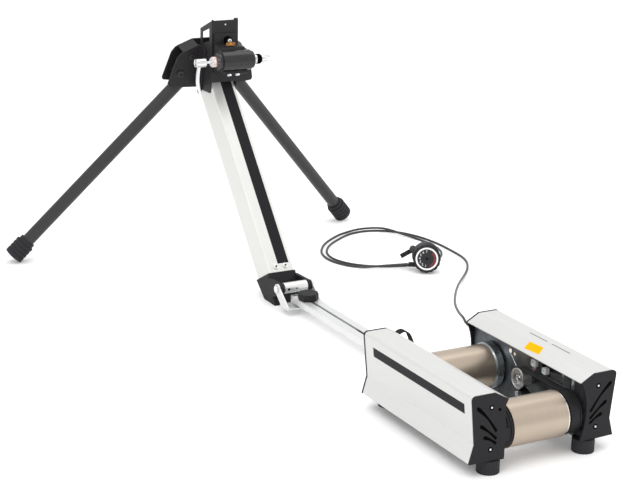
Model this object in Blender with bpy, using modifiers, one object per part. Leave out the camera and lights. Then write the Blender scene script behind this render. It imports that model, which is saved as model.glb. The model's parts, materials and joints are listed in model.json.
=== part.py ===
"""Fork mount roller trainer.

A low roller unit carries the bicycle's rear wheel on two rollers. A slotted rail
runs forward from it to a leaning mast, whose head clamps the fork and stands on
two folding legs. A cable joins the resistance unit to a dial on the floor.

Metres. x is to the right, y forward, z up. All places below are measured from the
middle of the roller unit's rear face, on the floor. At the end the whole trainer
is moved back, so that its origin is the centre of its footprint.
"""
import math

import bmesh
import bpy
from mathutils import Matrix, Vector

# Clearances
GAP = 0.0003            # between two pieces that touch
PLAY = 0.0003           # round a shaft in its bore
WELD = 0.00001          # points closer than this are one

# Roller unit: covers and end plates
UNIT_LENGTH = 0.302
END_PLATE = 0.003
END_PROUD = 0.0004      # the end plates stand this much outside the covers
COVER_WALL = 0.002
LIP_X = 0.0643          # inner edge of a cover, beside the tyre
LIP_Z = 0.1119
CHAMFER_X = 0.0862      # where the sloping lip meets the flat top
COVER_TOP = 0.1239
COVER_X = 0.1257        # outermost line of a cover
COVER_CORNER = 0.006
WAIST_X = 0.1180
WAIST_Z = 0.0501
COVER_BOTTOM = 0.0229
INNER_FOOT_X = 0.0667   # inner lower corner of an end plate
INNER_FOOT_Z = 0.0212
INNER_HOLLOW_X = 0.0752  # deepest point of an end plate's hollow inner edge
INNER_HOLLOW_Z = 0.0700

# Roller unit: feet and their bosses
FOOT_RADIUS = 0.017
FOOT_HEIGHT = 0.0205
FOOT_X = 0.084
FOOT_INSET = 0.014      # from the unit's end face to the foot's centre
FOOT_RIBS = 24
STUD_RADIUS = 0.004
STUD_LENGTH = 0.011
BOSS_LENGTH = 0.030
BOSS_HALF_WIDTH = 0.008
BOSS_TOP = 0.036

# Roller unit: side plates and crossbeams
SHEET = 0.0025
LEFT_PLATE_X = -0.0660  # inner faces of the side plates
RIGHT_PLATE_X = 0.0785
SIDE_BOTTOM = 0.016
SIDE_ROOM = 0.0012      # kept under the covers
FLANGE_X = 0.105        # outer edge of the flanges that meet the end plates
FRONT_BEAM_DEPTH = 0.015
FRONT_BEAM_BOTTOM = 0.012
FRONT_BEAM_TOP = 0.050
BEAM_WALL = 0.003
BEAM_INSET = 0.0005     # behind the front end plates
MIDDLE_BEAM_Y = 0.135
MIDDLE_BEAM_DEPTH = 0.030
MIDDLE_BEAM_BOTTOM = 0.010
MIDDLE_BEAM_TOP = 0.022

# Rollers
ROLLER_RADIUS = 0.035
ROLLER_WALL = 0.0025
ROLLER_Z = 0.0571
REAR_ROLLER_Y = 0.0354
FRONT_ROLLER_INSET = 0.0588   # from the unit's front face to the roller's axis
ROLLER_LEFT = -0.050
REAR_ROLLER_RIGHT = 0.047
FRONT_ROLLER_RIGHT = 0.063
ROLLER_END = 0.009      # thickness of the discs that close a roller
END_RIM = 0.0016
AXLE_RADIUS = 0.005
AXLE_COLLAR = 0.0075
AXLE_NUT = 0.008
AXLE_NUT_LENGTH = 0.005
BEARING_RADIUS = 0.013
BEARING_WIDTH = 0.008

# Flywheel ring on the front roller, belt pulley on the rear one
FLYWHEEL_RADIUS = 0.0372
FLYWHEEL_WIDTH = 0.0117
FLYWHEEL_RIM = 0.006
FLYWHEEL_RECESS = 0.002
PULLEY_HUB_WIDTH = 0.0032
PULLEY_HUB_RADIUS = 0.0295
PULLEY_FLANGE = 0.002
PULLEY_FLANGE_RADIUS = 0.0338
PULLEY_SEAT_RADIUS = 0.031
BELT_WIDTH = 0.014
BELT_SIDE_PLAY = 0.0005
BELT_THICKNESS = 0.0015

# Resistance unit
ROTOR_Y = 0.1395
ROTOR_Z = 0.0737
ROTOR_SEAT_RADIUS = 0.0150
ROTOR_RIM_RADIUS = 0.0163
ROTOR_RIM = 0.0015
ROTOR_RECESS_RADIUS = 0.0115
ROTOR_RECESS = 0.0045
ROTOR_SHAFT = 0.004
ROTOR_HEAD = 0.0065
HOUSING_RADIUS = 0.0125
HOUSING_NECK = 0.0095
HOUSING_INNER = 0.0068
HOUSING_OUTER = 0.0055
ROTOR_DISC_RADIUS = 0.030
ROTOR_DISC = 0.004
ROTOR_DISC_HUB = 0.008
ROTOR_DISC_STEP = 0.0015
MAGNET_GAP = 0.0007
MAGNET_THICKNESS = 0.0020
CARRIER_THICKNESS = 0.003
CARRIER_Y = 0.055
CARRIER_Z = 0.102
CARRIER_EYE = 0.0085
CARRIER_STUD = 0.004
CARRIER_STUD_HEAD = 0.0065
MAGNET_TRACK = 0.029    # radius of the magnets' middle round the rotor axis
MAGNET_BAND = 0.011
MAGNET_START = math.radians(70)
MAGNET_END = math.radians(138)
CARRIER_START = math.radians(62)
CARRIER_END = math.radians(150)
HUB_CAP_RADIUS = 0.0150
HUB_DRUM_RADIUS = 0.0132
HUB_CAP = 0.0018
NOTCH_REAR = 0.036      # opening in the right side plate round the hub
NOTCH_FRONT = 0.118
NOTCH_BOTTOM = 0.086
GUARD_RADIUS = 0.0352
GUARD_WIDTH = 0.0142
GUARD_GROOVE = 0.0022
GUARD_STEP = 0.0022

# Rail and what it carries
RAIL_WIDTH = 0.036
RAIL_BOTTOM = 0.0205
RAIL_HEIGHT = 0.0115
RAIL_LENGTH = 0.4417
RAIL_WALL = 0.002
RAIL_CAVITY = 0.026
RAIL_SLOT = 0.006
RAIL_MOUNT_LENGTH = 0.034
RAIL_MOUNT_WALL = 0.004
TONGUE_LENGTH = 0.2165
TONGUE_INSIDE = 0.200   # how much of the tongue is in the rail at rest
KNOB_RADIUS = 0.0188
KNOB_HEIGHT = 0.011
KNOB_FROM_END = 0.0267
KNOB_LOBES = 10
KNOB_LOBE_DEPTH = 0.0015
KNOB_BOLT = 0.0027
KNOB_WASHER_RADIUS = 0.009
KNOB_WASHER = 0.0017
STRAP_AHEAD = 0.074     # ahead of the roller unit
STRAP_WIDTH = 0.015
STRAP_THICKNESS = 0.0014
STRAP_APEX_X = -0.010
STRAP_APEX_Z = 0.0842
# Bends of the strap, each across from its anchor, and up as a share of the rise to the apex
STRAP_RIGHT_BENDS = ((0.0, 0.0), (-0.0020, 0.21), (-0.0090, 0.53))
STRAP_CROWN_BENDS = ((0.0140, 0.82), (0.0070, 0.965), (0.0, 1.0), (-0.0068, 0.955), (-0.0107, 0.81))
STRAP_LEFT_BENDS = ((-0.0017, 0.45), (-0.0007, 0.21), (0.0, 0.0))
STRAP_CORNER = 0.0012   # round the rail's lower edges

# Hinge at the rail's end
PIN_AHEAD = 0.027       # ahead of the rail's end
PIN_Z = 0.0403
PIN_RADIUS = 0.004
PIN_HEAD = 0.0068
PIN_HEAD_LENGTH = 0.0023
EAR_OUTER = 0.036
EAR_RADIUS = 0.0095
EAR_THICKNESS = 0.003
BRACKET_LAP = 0.0185    # how far it reaches back under the rail
BRACKET_REACH = 0.0165  # how far it reaches ahead of the rail
BRACKET_BOTTOM = 0.012
BRACKET_PLATE = 0.004
BARREL_RADIUS = 0.010
BARREL_LENGTH = 0.0464
BARREL_HOLE = 0.0019

# Mast and foot block, along the mast's lean
MAST_ANGLE = math.radians(49.606)
MAST_WIDTH = 0.0508
MAST_DEPTH = 0.0532
MAST_WALL = 0.0022
MAST_CORNER = 0.0030
MAST_INNER_CORNER = 0.0012
MAST_LENGTH = 0.410
MAST_AHEAD = 0.0545     # ahead of the pin, a point on the middle of its rear face
MAST_Z = 0.060
BLOCK_WIDTH = 0.055
BLOCK_REAR_TOP_AHEAD = 0.0499       # the block's corners, ahead of the pin
BLOCK_REAR_TOP_Z = 0.0553
BLOCK_TOP_ANGLE = math.radians(28.61)   # how its top slopes down to the front
BLOCK_TOP_MARGIN = 0.0044           # longer than the mast is deep
BLOCK_FRONT_BOTTOM_BEHIND = 0.0345  # behind the front top corner
BLOCK_REAR_BOTTOM_AHEAD = 0.0230
PLUG_LENGTH = 0.040
LUG_INNER = 0.0255
LUG_THICKNESS = 0.0067
LUG_RADIUS = 0.0095

# Head channel, open to the front
CHANNEL_BEHIND = 0.0202 # its rear face, behind the top of the mast's rear face
CHANNEL_DEPTH = 0.0525
CHANNEL_SHEET = 0.002
CHANNEL_RISE = 0.0707   # its top, above the hub's axis
CHANNEL_SLOPE = 0.0215  # how much lower its front edge is
WEB_DROP = 0.0488       # lower edges, below the hub's axis
FLANGE_DROP = 0.0708
WINDOW_REAR_MARGIN = 0.0115
WINDOW_FRONT_MARGIN = 0.0085
WINDOW_REAR_DROP = 0.0155   # from the channel's top edge
WINDOW_FRONT_DROP = 0.0060
WINDOW_REAR_HEIGHT = 0.0254
WINDOW_FRONT_HEIGHT = 0.0220

# Hub, cradle and skewer
HUB_BEHIND = 0.0441     # behind the channel's rear face
HUB_RISE = 0.04355      # above the top of the mast's rear face
HUB_RADIUS = 0.0195
HUB_LENGTH = 0.072
HUB_END_RADIUS = 0.0165
HUB_END = 0.006
CRADLE_WIDTH = 0.048
CRADLE_PLATE = 0.003
CRADLE_RISE = 0.0462    # above the hub's axis
CRADLE_DROP = 0.0308
JAW_RADIUS = 0.0255
JAW_TOP = math.radians(72)
JAW_BOTTOM = math.radians(-112)
DROPOUT_SPACING = 0.100
HUB_AXLE_RADIUS = 0.005
AXLE_END_RADIUS = 0.009
SKEWER_RADIUS = 0.0025
CAM_INNER_X = -0.0620
CAM_LENGTH = 0.0192
CAM_RADIUS = 0.0083
CAM_SLOT = 0.0066
CAM_PIVOT_X = -0.0735
CAM_PIN = 0.002
LEVER_EYE = 0.0062
LEVER_LENGTH = 0.057
LEVER_THICKNESS = 0.0042
LEVER_BOW = 0.004
NUT_X = 0.055
NUT_LENGTH = 0.0185
NUT_RADIUS = 0.0072
NUT_TIP_RADIUS = 0.005

# Legs, in a plane that leans back with the head
LEG_PLANE_LEAN = math.radians(16.568)
LEG_AHEAD = 0.0840      # ahead of the channel's rear face, where the plane is at LEG_Z
LEG_DROP = 0.0658       # LEG_Z is this far below the hub's axis
LEG_X = 0.0666          # where a leg's axis crosses LEG_Z
LEG_SPREAD = math.radians(41.150)
LEG_RADIUS = 0.0127
LEG_WALL = 0.0015
LEG_TOP = 0.0560        # length of leg above LEG_Z
LEG_PIVOT = 0.0442
LEG_PIN_RADIUS = 0.0045
CAP_RADIUS = 0.0193
CAP_LENGTH = 0.042
CAP_FLOOR = 0.010
CAP_RIBS = 3
CAP_RIB_DEPTH = 0.0012
BRACKET_SHEET = 0.0025
BRACKET_HALF_ROOM = 0.0135
STOP_RADIUS = 0.0065
STOP_DOWN = 0.0232      # down the leg from its pivot
TAB_LENGTH = 0.022

# Remote control, resting on its rim on the floor
REMOTE_X = 0.3389
REMOTE_Y = 0.8506
REMOTE_YAW = math.radians(57.177)
REMOTE_TILT = math.radians(17.10)
DIAL_RADIUS = 0.0275
DIAL_DEPTH = 0.012
DIAL_RING_RADIUS = 0.0245
DIAL_FACE_RADIUS = 0.0198
DIAL_FACE_RECESS = 0.0012
DIAL_GRIPS = 16
DIAL_GRIP_DEPTH = 0.0012
DIAL_SHOULDER = 0.0018  # the ring's foot, inside the grips
DIAL_RING_RISE = 0.0009
DIAL_SPINDLE = 0.004
SPINDLE_LENGTH = 0.008
HOUSING_FRONT_RADIUS = 0.0258
HOUSING_BACK_RADIUS = 0.0212
HOUSING_DEPTH = 0.016
CLAMP_THICKNESS = 0.009
CLAMP_ROOT = 0.016      # width of the arm at the housing
CLAMP_WIDTH = 0.014
CLAMP_BENDS = ((0.0, 0.006), (-0.014, 0.0215), (-0.024, 0.0195), (-0.038, 0.0115), (-0.052, 0.0030))
SPOUT_RADIUS = 0.0048
SPOUT_LENGTH = 0.0224

# Cable, a stiff casing
CABLE_RADIUS = 0.00225
GLAND_X = 0.0782
GLAND_Z = 0.1010
GLAND_RADIUS = 0.0055
GLAND_TIP_RADIUS = 0.0036
GLAND_LENGTH = 0.016

# Colours: base colour, roughness, metallic
FINISHES = {
    "aluminium": ((0.86, 0.87, 0.88), 0.35, 0.9),
    "zinc": ((0.52, 0.56, 0.60), 0.38, 0.9),
    "bronze": ((0.62, 0.54, 0.43), 0.30, 0.9),
    "steel": ((0.80, 0.80, 0.82), 0.20, 1.0),
    "black_metal": ((0.030, 0.030, 0.034), 0.45, 0.3),
    "black_plastic": ((0.035, 0.033, 0.036), 0.60, 0.0),
    "rubber": ((0.022, 0.022, 0.024), 0.75, 0.0),
    "webbing": ((0.020, 0.020, 0.022), 0.90, 0.0),
}

PLACE = {}              # where each empty is, before the trainer is moved back


# Scene and materials
def clear_scene():
    """Remove whatever the scene holds."""
    for obj in list(bpy.data.objects):
        bpy.data.objects.remove(obj, do_unlink=True)


def new_collection(name):
    """A collection linked to the scene."""
    group = bpy.data.collections.new(name)
    bpy.context.scene.collection.children.link(group)
    return group


def material(name, finish):
    """A Principled material in one of the finishes."""
    colour, roughness, metallic = FINISHES[finish]
    mat = bpy.data.materials.new(name)
    mat.use_nodes = True
    shader = mat.node_tree.nodes["Principled BSDF"]
    shader.inputs["Base Color"].default_value = (*colour, 1.0)
    shader.inputs["Roughness"].default_value = roughness
    shader.inputs["Metallic"].default_value = metallic
    mat.diffuse_color = (*colour, 1.0)
    return mat


# Making shapes
def add_object(name, data):
    """An object in the trainer's collection."""
    obj = bpy.data.objects.new(name, data)
    TRAINER.objects.link(obj)
    return obj


def from_bmesh(name, bm):
    """An object from a bmesh, which is freed."""
    mesh = bpy.data.meshes.new(name)
    bm.to_mesh(mesh)
    bm.free()
    return add_object(name, mesh)


def baked(obj):
    """The same object as a plain mesh, its modifiers applied and its points welded."""
    bpy.context.view_layer.update()
    graph = bpy.context.evaluated_depsgraph_get()
    mesh = bpy.data.meshes.new_from_object(obj.evaluated_get(graph), depsgraph=graph)
    mesh.transform(obj.matrix_world)
    name = obj.name
    bpy.data.objects.remove(obj, do_unlink=True)
    bm = bmesh.new()
    bm.from_mesh(mesh)
    bmesh.ops.remove_doubles(bm, verts=bm.verts, dist=WELD)
    bmesh.ops.recalc_face_normals(bm, faces=bm.faces)
    bm.to_mesh(mesh)
    bm.free()
    return add_object(name, mesh)


def box(name, x, y, z):
    """A block between the pairs x, y and z."""
    low = Vector((x[0], y[0], z[0]))
    high = Vector((x[1], y[1], z[1]))
    bm = bmesh.new()
    bmesh.ops.create_cube(bm, size=1.0)
    bmesh.ops.scale(bm, vec=high - low, verts=bm.verts)
    bmesh.ops.translate(bm, vec=(high + low) / 2, verts=bm.verts)
    return from_bmesh(name, bm)


def rod(name, start, end, radius, end_radius=None, sides=24):
    """A round bar, or a cone, between two points."""
    start = Vector(start)
    end = Vector(end)
    far_radius = radius if end_radius is None else end_radius
    bm = bmesh.new()
    bmesh.ops.create_cone(bm, cap_ends=True, segments=sides, radius1=radius,
                          radius2=far_radius, depth=(end - start).length)
    turn = (end - start).to_track_quat("Z", "Y").to_matrix().to_4x4()
    bm.transform(Matrix.Translation((start + end) / 2) @ turn)
    return from_bmesh(name, bm)


def axes(origin, right, up):
    """A matrix whose X and Y lie along right and up, and whose Z is their normal."""
    right = Vector(right).normalized()
    up = Vector(up).normalized()
    out = right.cross(up)
    turn = Matrix((right, up, out)).transposed().to_4x4()
    return Matrix.Translation(Vector(origin)) @ turn


def plate(name, outlines, thickness, place):
    """A flat piece: a filled 2D curve, its first outline the edge, the rest holes."""
    curve = bpy.data.curves.new(name, "CURVE")
    curve.dimensions = "2D"
    curve.fill_mode = "BOTH"
    curve.extrude = thickness / 2
    for points in outlines:
        spline = curve.splines.new("POLY")
        spline.points.add(len(points) - 1)
        for point, (px, py) in zip(spline.points, points):
            point.co = (px, py, 0.0, 1.0)
        spline.use_cyclic_u = True
    obj = add_object(name, curve)
    obj.matrix_world = place
    return baked(obj)


def plate_yz(name, outlines, x):
    """A plate whose outlines are (y, z) pairs, between the pair x."""
    place = axes(((x[0] + x[1]) / 2, 0, 0), (0, 1, 0), (0, 0, 1))
    return plate(name, outlines, x[1] - x[0], place)


def plate_xz(name, outlines, y):
    """A plate whose outlines are (x, z) pairs, between the pair y."""
    place = axes((0, (y[0] + y[1]) / 2, 0), (1, 0, 0), (0, 0, 1))
    return plate(name, outlines, y[1] - y[0], place)


def turned(name, profile, start, direction, steps=32, closed=False):
    """A turned piece: (radius, distance) pairs, revolved round a line from start."""
    mesh = bpy.data.meshes.new(name)
    count = len(profile)
    edges = [(i, i + 1) for i in range(count - 1)]
    if closed:
        edges.append((count - 1, 0))
    mesh.from_pydata([(radius, 0.0, along) for radius, along in profile], edges, [])
    obj = add_object(name, mesh)
    screw = obj.modifiers.new("Screw", "SCREW")
    screw.axis = "Z"
    screw.steps = steps
    screw.render_steps = steps
    screw.use_merge_vertices = True
    screw.merge_threshold = WELD
    turn = Vector(direction).to_track_quat("Z", "Y").to_matrix().to_4x4()
    obj.matrix_world = Matrix.Translation(Vector(start)) @ turn
    return baked(obj)


def ring(name, inner, outer, start, direction, length, steps=32):
    """A plain tube or washer from start, of the given length."""
    profile = [(outer, length), (outer, 0.0), (inner, 0.0), (inner, length)]
    return turned(name, profile, start, direction, steps, closed=True)


def combine(obj, tools, operation):
    """One Boolean of obj with each of the tools, which are used up."""
    for tool in tools:
        boolean = obj.modifiers.new(operation.title(), "BOOLEAN")
        boolean.operation = operation
        boolean.solver = "EXACT"
        boolean.object = tool
    result = baked(obj)
    for tool in tools:
        bpy.data.objects.remove(tool, do_unlink=True)
    return result


def cut(obj, *tools):
    """Take the tools away from obj."""
    return combine(obj, tools, "DIFFERENCE")


def join(obj, *tools):
    """Add the tools to obj."""
    return combine(obj, tools, "UNION")


# Outlines
def arc(centre, radius, start, end, steps=8):
    """Points on a circle from one angle to another."""
    points = []
    for i in range(steps + 1):
        angle = start + (end - start) * i / steps
        points.append((centre[0] + radius * math.cos(angle),
                       centre[1] + radius * math.sin(angle)))
    return points


def circle(centre, radius, steps=24):
    """A whole circle of points."""
    return arc(centre, radius, 0.0, math.tau, steps)[:-1]


def hollow(start, middle, end, steps=8):
    """A smooth curve from start to end that passes middle half way."""
    points = []
    for i in range(steps + 1):
        t = i / steps
        bend = 4.0 * t * (1.0 - t)
        point = []
        for a, m, b in zip(start, middle, end):
            straight = a + (b - a) * t
            point.append(straight + (m - (a + b) / 2) * bend)
        points.append(tuple(point))
    return points


def fillet(before, corner, after, radius, steps=4):
    """Points that round one corner of an outline."""
    corner = Vector(corner)
    back = (Vector(before) - corner).normalized()
    ahead = (Vector(after) - corner).normalized()
    half = back.angle(ahead) / 2
    centre = corner + (back + ahead).normalized() * (radius / math.sin(half))
    start = corner + back * (radius / math.tan(half)) - centre
    end = corner + ahead * (radius / math.tan(half)) - centre
    return [tuple(centre + start.lerp(end, i / steps).normalized() * radius)
            for i in range(steps + 1)]


def rectangle(width, height, corner):
    """A rectangle with round corners about the origin."""
    half_x = width / 2
    half_y = height / 2
    corners = [(-half_x, -half_y), (half_x, -half_y), (half_x, half_y), (-half_x, half_y)]
    points = []
    for i, point in enumerate(corners):
        points += fillet(corners[i - 1], point, corners[(i + 1) % 4], corner, steps=3)
    return points


def smooth(points, per_span, closed=False):
    """A Catmull-Rom curve through points of any dimension."""
    count = len(points)
    spans = count if closed else count - 1
    result = []
    for i in range(spans):
        if closed:
            near = [Vector(points[(i + k) % count]) for k in (-1, 0, 1, 2)]
        else:
            near = [Vector(points[min(max(i + k, 0), count - 1)]) for k in (-1, 0, 1, 2)]
        a, b, c, d = near
        for j in range(per_span):
            t = j / per_span
            result.append(0.5 * (2 * b + (c - a) * t + (2 * a - 5 * b + 4 * c - d) * t ** 2
                                 + (3 * b - a - 3 * c + d) * t ** 3))
    if not closed:
        result.append(Vector(points[-1]))
    return result


# Carrying
def holder(name, place, parent=None):
    """An empty on a joint's axis, which carries what moves with it."""
    empty = bpy.data.objects.new(name, None)
    empty.empty_display_size = 0.02
    TRAINER.objects.link(empty)
    PLACE[name] = Vector(place)
    if parent:
        empty.parent = parent
        empty.location = PLACE[name] - PLACE[parent.name]
    return empty


def carry(obj, parent, finish):
    """Finish a piece and hang it on its holder, where its origin then is."""
    obj.data.transform(Matrix.Translation(-PLACE[parent.name]))
    obj.parent = parent
    obj.data.materials.clear()
    obj.data.materials.append(material(obj.name, finish))
    obj.data.shade_smooth()
    obj.data.set_sharp_from_angle(angle=math.radians(35))
    return obj


def outward(side, points):
    """Outline points given for the right side, mirrored for the left."""
    return [(side * px, pz) for px, pz in points]


def span(a, b):
    """Two limits in rising order."""
    return (min(a, b), max(a, b))


clear_scene()
TRAINER = new_collection("fork_mount_roller_trainer")
ROOT = holder("trainer", (0, 0, 0))


# Covers and end plates
def cover_line(proud=0.0):
    """The outside of the right cover from lip to lower edge, moved out by proud."""
    top = COVER_TOP + proud
    outer = COVER_X + proud
    corner = fillet((CHAMFER_X, top), (outer, top), (WAIST_X, WAIST_Z), COVER_CORNER)
    line = [(LIP_X - proud, LIP_Z), (CHAMFER_X, top)] + corner
    return line + [(WAIST_X + proud, WAIST_Z), (outer, COVER_BOTTOM - proud)]


def under_cover(x):
    """Height of the underside of a cover's sloping lip at a distance x from the middle."""
    slope = (COVER_TOP - LIP_Z) / (CHAMFER_X - LIP_X)
    drop = COVER_WALL * math.hypot(1.0, slope)
    return min(LIP_Z + slope * (x - LIP_X), COVER_TOP) - drop


def sheet_along_y(name, line, y, wall):
    """A bent sheet that follows an open line of (x, z) points, as a shell."""
    bm = bmesh.new()
    near = [bm.verts.new((px, y[0], pz)) for px, pz in line]
    for a, b in zip(near, near[1:]):
        bm.edges.new((a, b))
    swept = bmesh.ops.extrude_edge_only(bm, edges=bm.edges[:])
    far = [item for item in swept["geom"] if isinstance(item, bmesh.types.BMVert)]
    bmesh.ops.translate(bm, vec=(0, y[1] - y[0], 0), verts=far)
    obj = from_bmesh(name, bm)
    solid = obj.modifiers.new("Solidify", "SOLIDIFY")
    solid.thickness = wall
    solid.offset = -1.0
    solid.use_even_offset = True
    return baked(obj)


def cover(name, side):
    """One extruded cover, open to the inside and below."""
    line = outward(side, cover_line())
    if side > 0:
        line.reverse()
    y = (END_PLATE + GAP, UNIT_LENGTH - END_PLATE - GAP)
    return sheet_along_y(name, line, y, COVER_WALL)


def slit(points, widths):
    """A bent slit, as wide at each of its points as widths says."""
    left = []
    right = []
    for i, point in enumerate(points):
        a = Vector(points[max(i - 1, 0)])
        b = Vector(points[min(i + 1, len(points) - 1)])
        along = (b - a).normalized()
        across = Vector((-along.y, along.x)) * (widths[i] / 2)
        left.append(tuple(Vector(point) + across))
        right.append(tuple(Vector(point) - across))
    return left + right[::-1]


# The fanned slits of an end plate, each as points (x, z) that its middle line passes
SLITS = (
    ((0.1160, 0.1056), (0.0977, 0.0878), (0.0820, 0.0658)),
    ((0.1095, 0.0779), (0.0958, 0.0678), (0.0818, 0.0547)),
    ((0.1023, 0.0594), (0.0915, 0.0545), (0.0819, 0.0475)),
)
SLIT_WIDTHS = (0.0028, 0.0013, 0.0021)
TAB_HALF_HEIGHT = 0.010
SHOULDER_IN = 0.0043    # the guarded plate's shoulder, from the cover's lip
SHOULDER_DOWN = 0.0097
BOSS_ROOM = 0.0015      # between a foot and its boss
GUARD_FACE = LEFT_PLATE_X + GAP


def end_plate(name, side, y_outer, y_inner, guarded=False):
    """A moulded end plate with fanned slits and the boss of a foot behind it."""
    foot = (INNER_FOOT_X, INNER_FOOT_Z)
    outline = cover_line(END_PROUD)
    lip = outline[0]
    if guarded:
        tab_x = -GUARD_FACE - GUARD_WIDTH / 2
        inner = [foot, (INNER_FOOT_X, ROLLER_Z - TAB_HALF_HEIGHT),
                 (tab_x, ROLLER_Z - TAB_HALF_HEIGHT), (tab_x, ROLLER_Z + TAB_HALF_HEIGHT),
                 (INNER_FOOT_X, ROLLER_Z + TAB_HALF_HEIGHT),
                 (LIP_X + SHOULDER_IN, LIP_Z - SHOULDER_DOWN)]
    else:
        inner = hollow(foot, (INNER_HOLLOW_X, INNER_HOLLOW_Z), lip)[:-1]
    outline = outward(side, outline + inner)
    plate_obj = plate_xz(name, [outline], span(y_outer, y_inner))
    forward = math.copysign(1.0, y_inner - y_outer)
    middle_y = (y_outer + y_inner) / 2
    boss_bottom = FOOT_HEIGHT + BOSS_ROOM
    boss = box("boss", span(side * (FOOT_X - BOSS_HALF_WIDTH), side * (FOOT_X + BOSS_HALF_WIDTH)),
               span(middle_y, y_outer + forward * BOSS_LENGTH), (boss_bottom, BOSS_TOP))
    pieces = [boss]
    if guarded:
        pieces.append(roller_guard())
    plate_obj = join(plate_obj, *pieces)
    foot_y = y_outer + forward * FOOT_INSET
    cutters = [rod("bore", (side * FOOT_X, foot_y, FOOT_HEIGHT),
                   (side * FOOT_X, foot_y, FOOT_HEIGHT + STUD_LENGTH + PLAY),
                   STUD_RADIUS + PLAY, sides=16)]
    for points in SLITS:
        through = span(y_outer - forward * END_PLATE, y_inner + forward * END_PLATE / 2)
        cutters.append(plate_xz("slit", [outward(side, slit(points, SLIT_WIDTHS))], through))
    return cut(plate_obj, *cutters)


def roller_guard():
    """The stepped round guard at the rear roller's left end, with two grooves."""
    outer = GUARD_RADIUS
    groove = GUARD_RADIUS - GUARD_STEP
    lands = 3
    land = (GUARD_WIDTH - (lands - 1) * GUARD_GROOVE) / lands
    profile = []
    along = GUARD_WIDTH
    for i in range(lands):
        radius = outer - (lands - 1 - i) * PLAY * 2
        profile += [(radius, along), (radius, along - land)]
        along -= land
        if i < lands - 1:
            profile += [(groove, along), (groove, along - GUARD_GROOVE)]
            along -= GUARD_GROOVE
    bore = AXLE_COLLAR + PLAY
    profile += [(bore, 0.0), (bore, GUARD_WIDTH)]
    return turned("guard", profile, (GUARD_FACE, REAR_ROLLER_Y, ROLLER_Z), (1, 0, 0), 32, closed=True)


def make_covers():
    """Both covers and the four end plates."""
    for word, side in (("left", -1), ("right", 1)):
        carry(cover(word + "_cover", side), ROOT, "aluminium")
        rear = end_plate(word + "_rear_end_plate", side, 0.0, END_PLATE, guarded=side < 0)
        carry(rear, ROOT, "black_plastic")
        front = end_plate(word + "_front_end_plate", side, UNIT_LENGTH, UNIT_LENGTH - END_PLATE)
        carry(front, ROOT, "black_plastic")


# Feet
FOOT_RIB_DEPTH = 0.0006


def foot(name, x, y):
    """A round foot with finger ribs and a stud up into its boss."""
    ribs = []
    for i in range(2 * FOOT_RIBS):
        radius = FOOT_RADIUS if i % 2 == 0 else FOOT_RADIUS - FOOT_RIB_DEPTH
        angle = math.tau * i / (2 * FOOT_RIBS)
        ribs.append((x + radius * math.cos(angle), y + radius * math.sin(angle)))
    place = axes((0, 0, FOOT_HEIGHT / 2), (1, 0, 0), (0, 1, 0))
    body = plate(name, [ribs], FOOT_HEIGHT, place)
    stud = rod("stud", (x, y, FOOT_HEIGHT / 2), (x, y, FOOT_HEIGHT + STUD_LENGTH - GAP),
               STUD_RADIUS, sides=16)
    return join(body, stud)


def make_feet():
    """Two fixed front feet, and two rear feet that screw up and down."""
    for word, side in (("left", -1), ("right", 1)):
        x = side * FOOT_X
        front_y = UNIT_LENGTH - FOOT_INSET
        carry(foot("front_" + word + "_foot", x, front_y), ROOT, "rubber")
        turner = holder("rear_" + word + "_foot_axis", (x, FOOT_INSET, 0), ROOT)
        carry(foot("rear_" + word + "_foot", x, FOOT_INSET), turner, "rubber")


# Side plates and crossbeams
FRONT_ROLLER_Y = UNIT_LENGTH - FRONT_ROLLER_INSET
BEAM_FRONT = UNIT_LENGTH - END_PLATE - BEAM_INSET


def side_plate(name, side, inner_x):
    """A steel plate with bent flanges at both ends and bores for the axles."""
    near = abs(inner_x)
    far = near + SHEET
    rear = END_PLATE + GAP
    front = UNIT_LENGTH - END_PLATE - GAP
    channel = [(near, rear), (FLANGE_X, rear), (FLANGE_X, rear + SHEET), (far, rear + SHEET),
               (far, front - SHEET), (FLANGE_X, front - SHEET), (FLANGE_X, front), (near, front)]
    top = under_cover(near) - SIDE_ROOM
    place = axes((0, 0, (SIDE_BOTTOM + top) / 2), (1, 0, 0), (0, 1, 0))
    obj = plate(name, [outward(side, channel)], top - SIDE_BOTTOM, place)
    across = span(side * (near - SHEET), side * (far + SHEET))
    boss_room = span(side * (near - SHEET), side * (FLANGE_X + SHEET))
    low = (0.0, BOSS_TOP + 3 * GAP)
    cutters = [box("rear_room", boss_room, (0.0, BOSS_LENGTH + 3 * GAP), low),
               box("front_room", boss_room, (UNIT_LENGTH - BOSS_LENGTH - 3 * GAP, UNIT_LENGTH), low)]
    for y in (REAR_ROLLER_Y, FRONT_ROLLER_Y):
        cutters.append(rod("bore", (across[0], y, ROLLER_Z), (across[1], y, ROLLER_Z),
                           AXLE_RADIUS + PLAY, sides=20))
    if side > 0:
        cutters.append(rod("neck_bore", (across[0], ROTOR_Y, ROTOR_Z), (across[1], ROTOR_Y, ROTOR_Z),
                           HOUSING_NECK + PLAY, sides=28))
        high = (NOTCH_BOTTOM, COVER_TOP)
        cutters.append(box("notch", across, (NOTCH_REAR, CARRIER_Y - CARRIER_EYE), high))
        cutters.append(box("notch", across, (CARRIER_Y + CARRIER_EYE, NOTCH_FRONT), high))
        cutters.append(box("notch", across, (NOTCH_REAR, NOTCH_FRONT),
                           (CARRIER_Z + CARRIER_EYE, COVER_TOP)))
    obj = cut(obj, *cutters)
    if side > 0:
        obj = join(obj, carrier_stud())
    return obj


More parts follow.
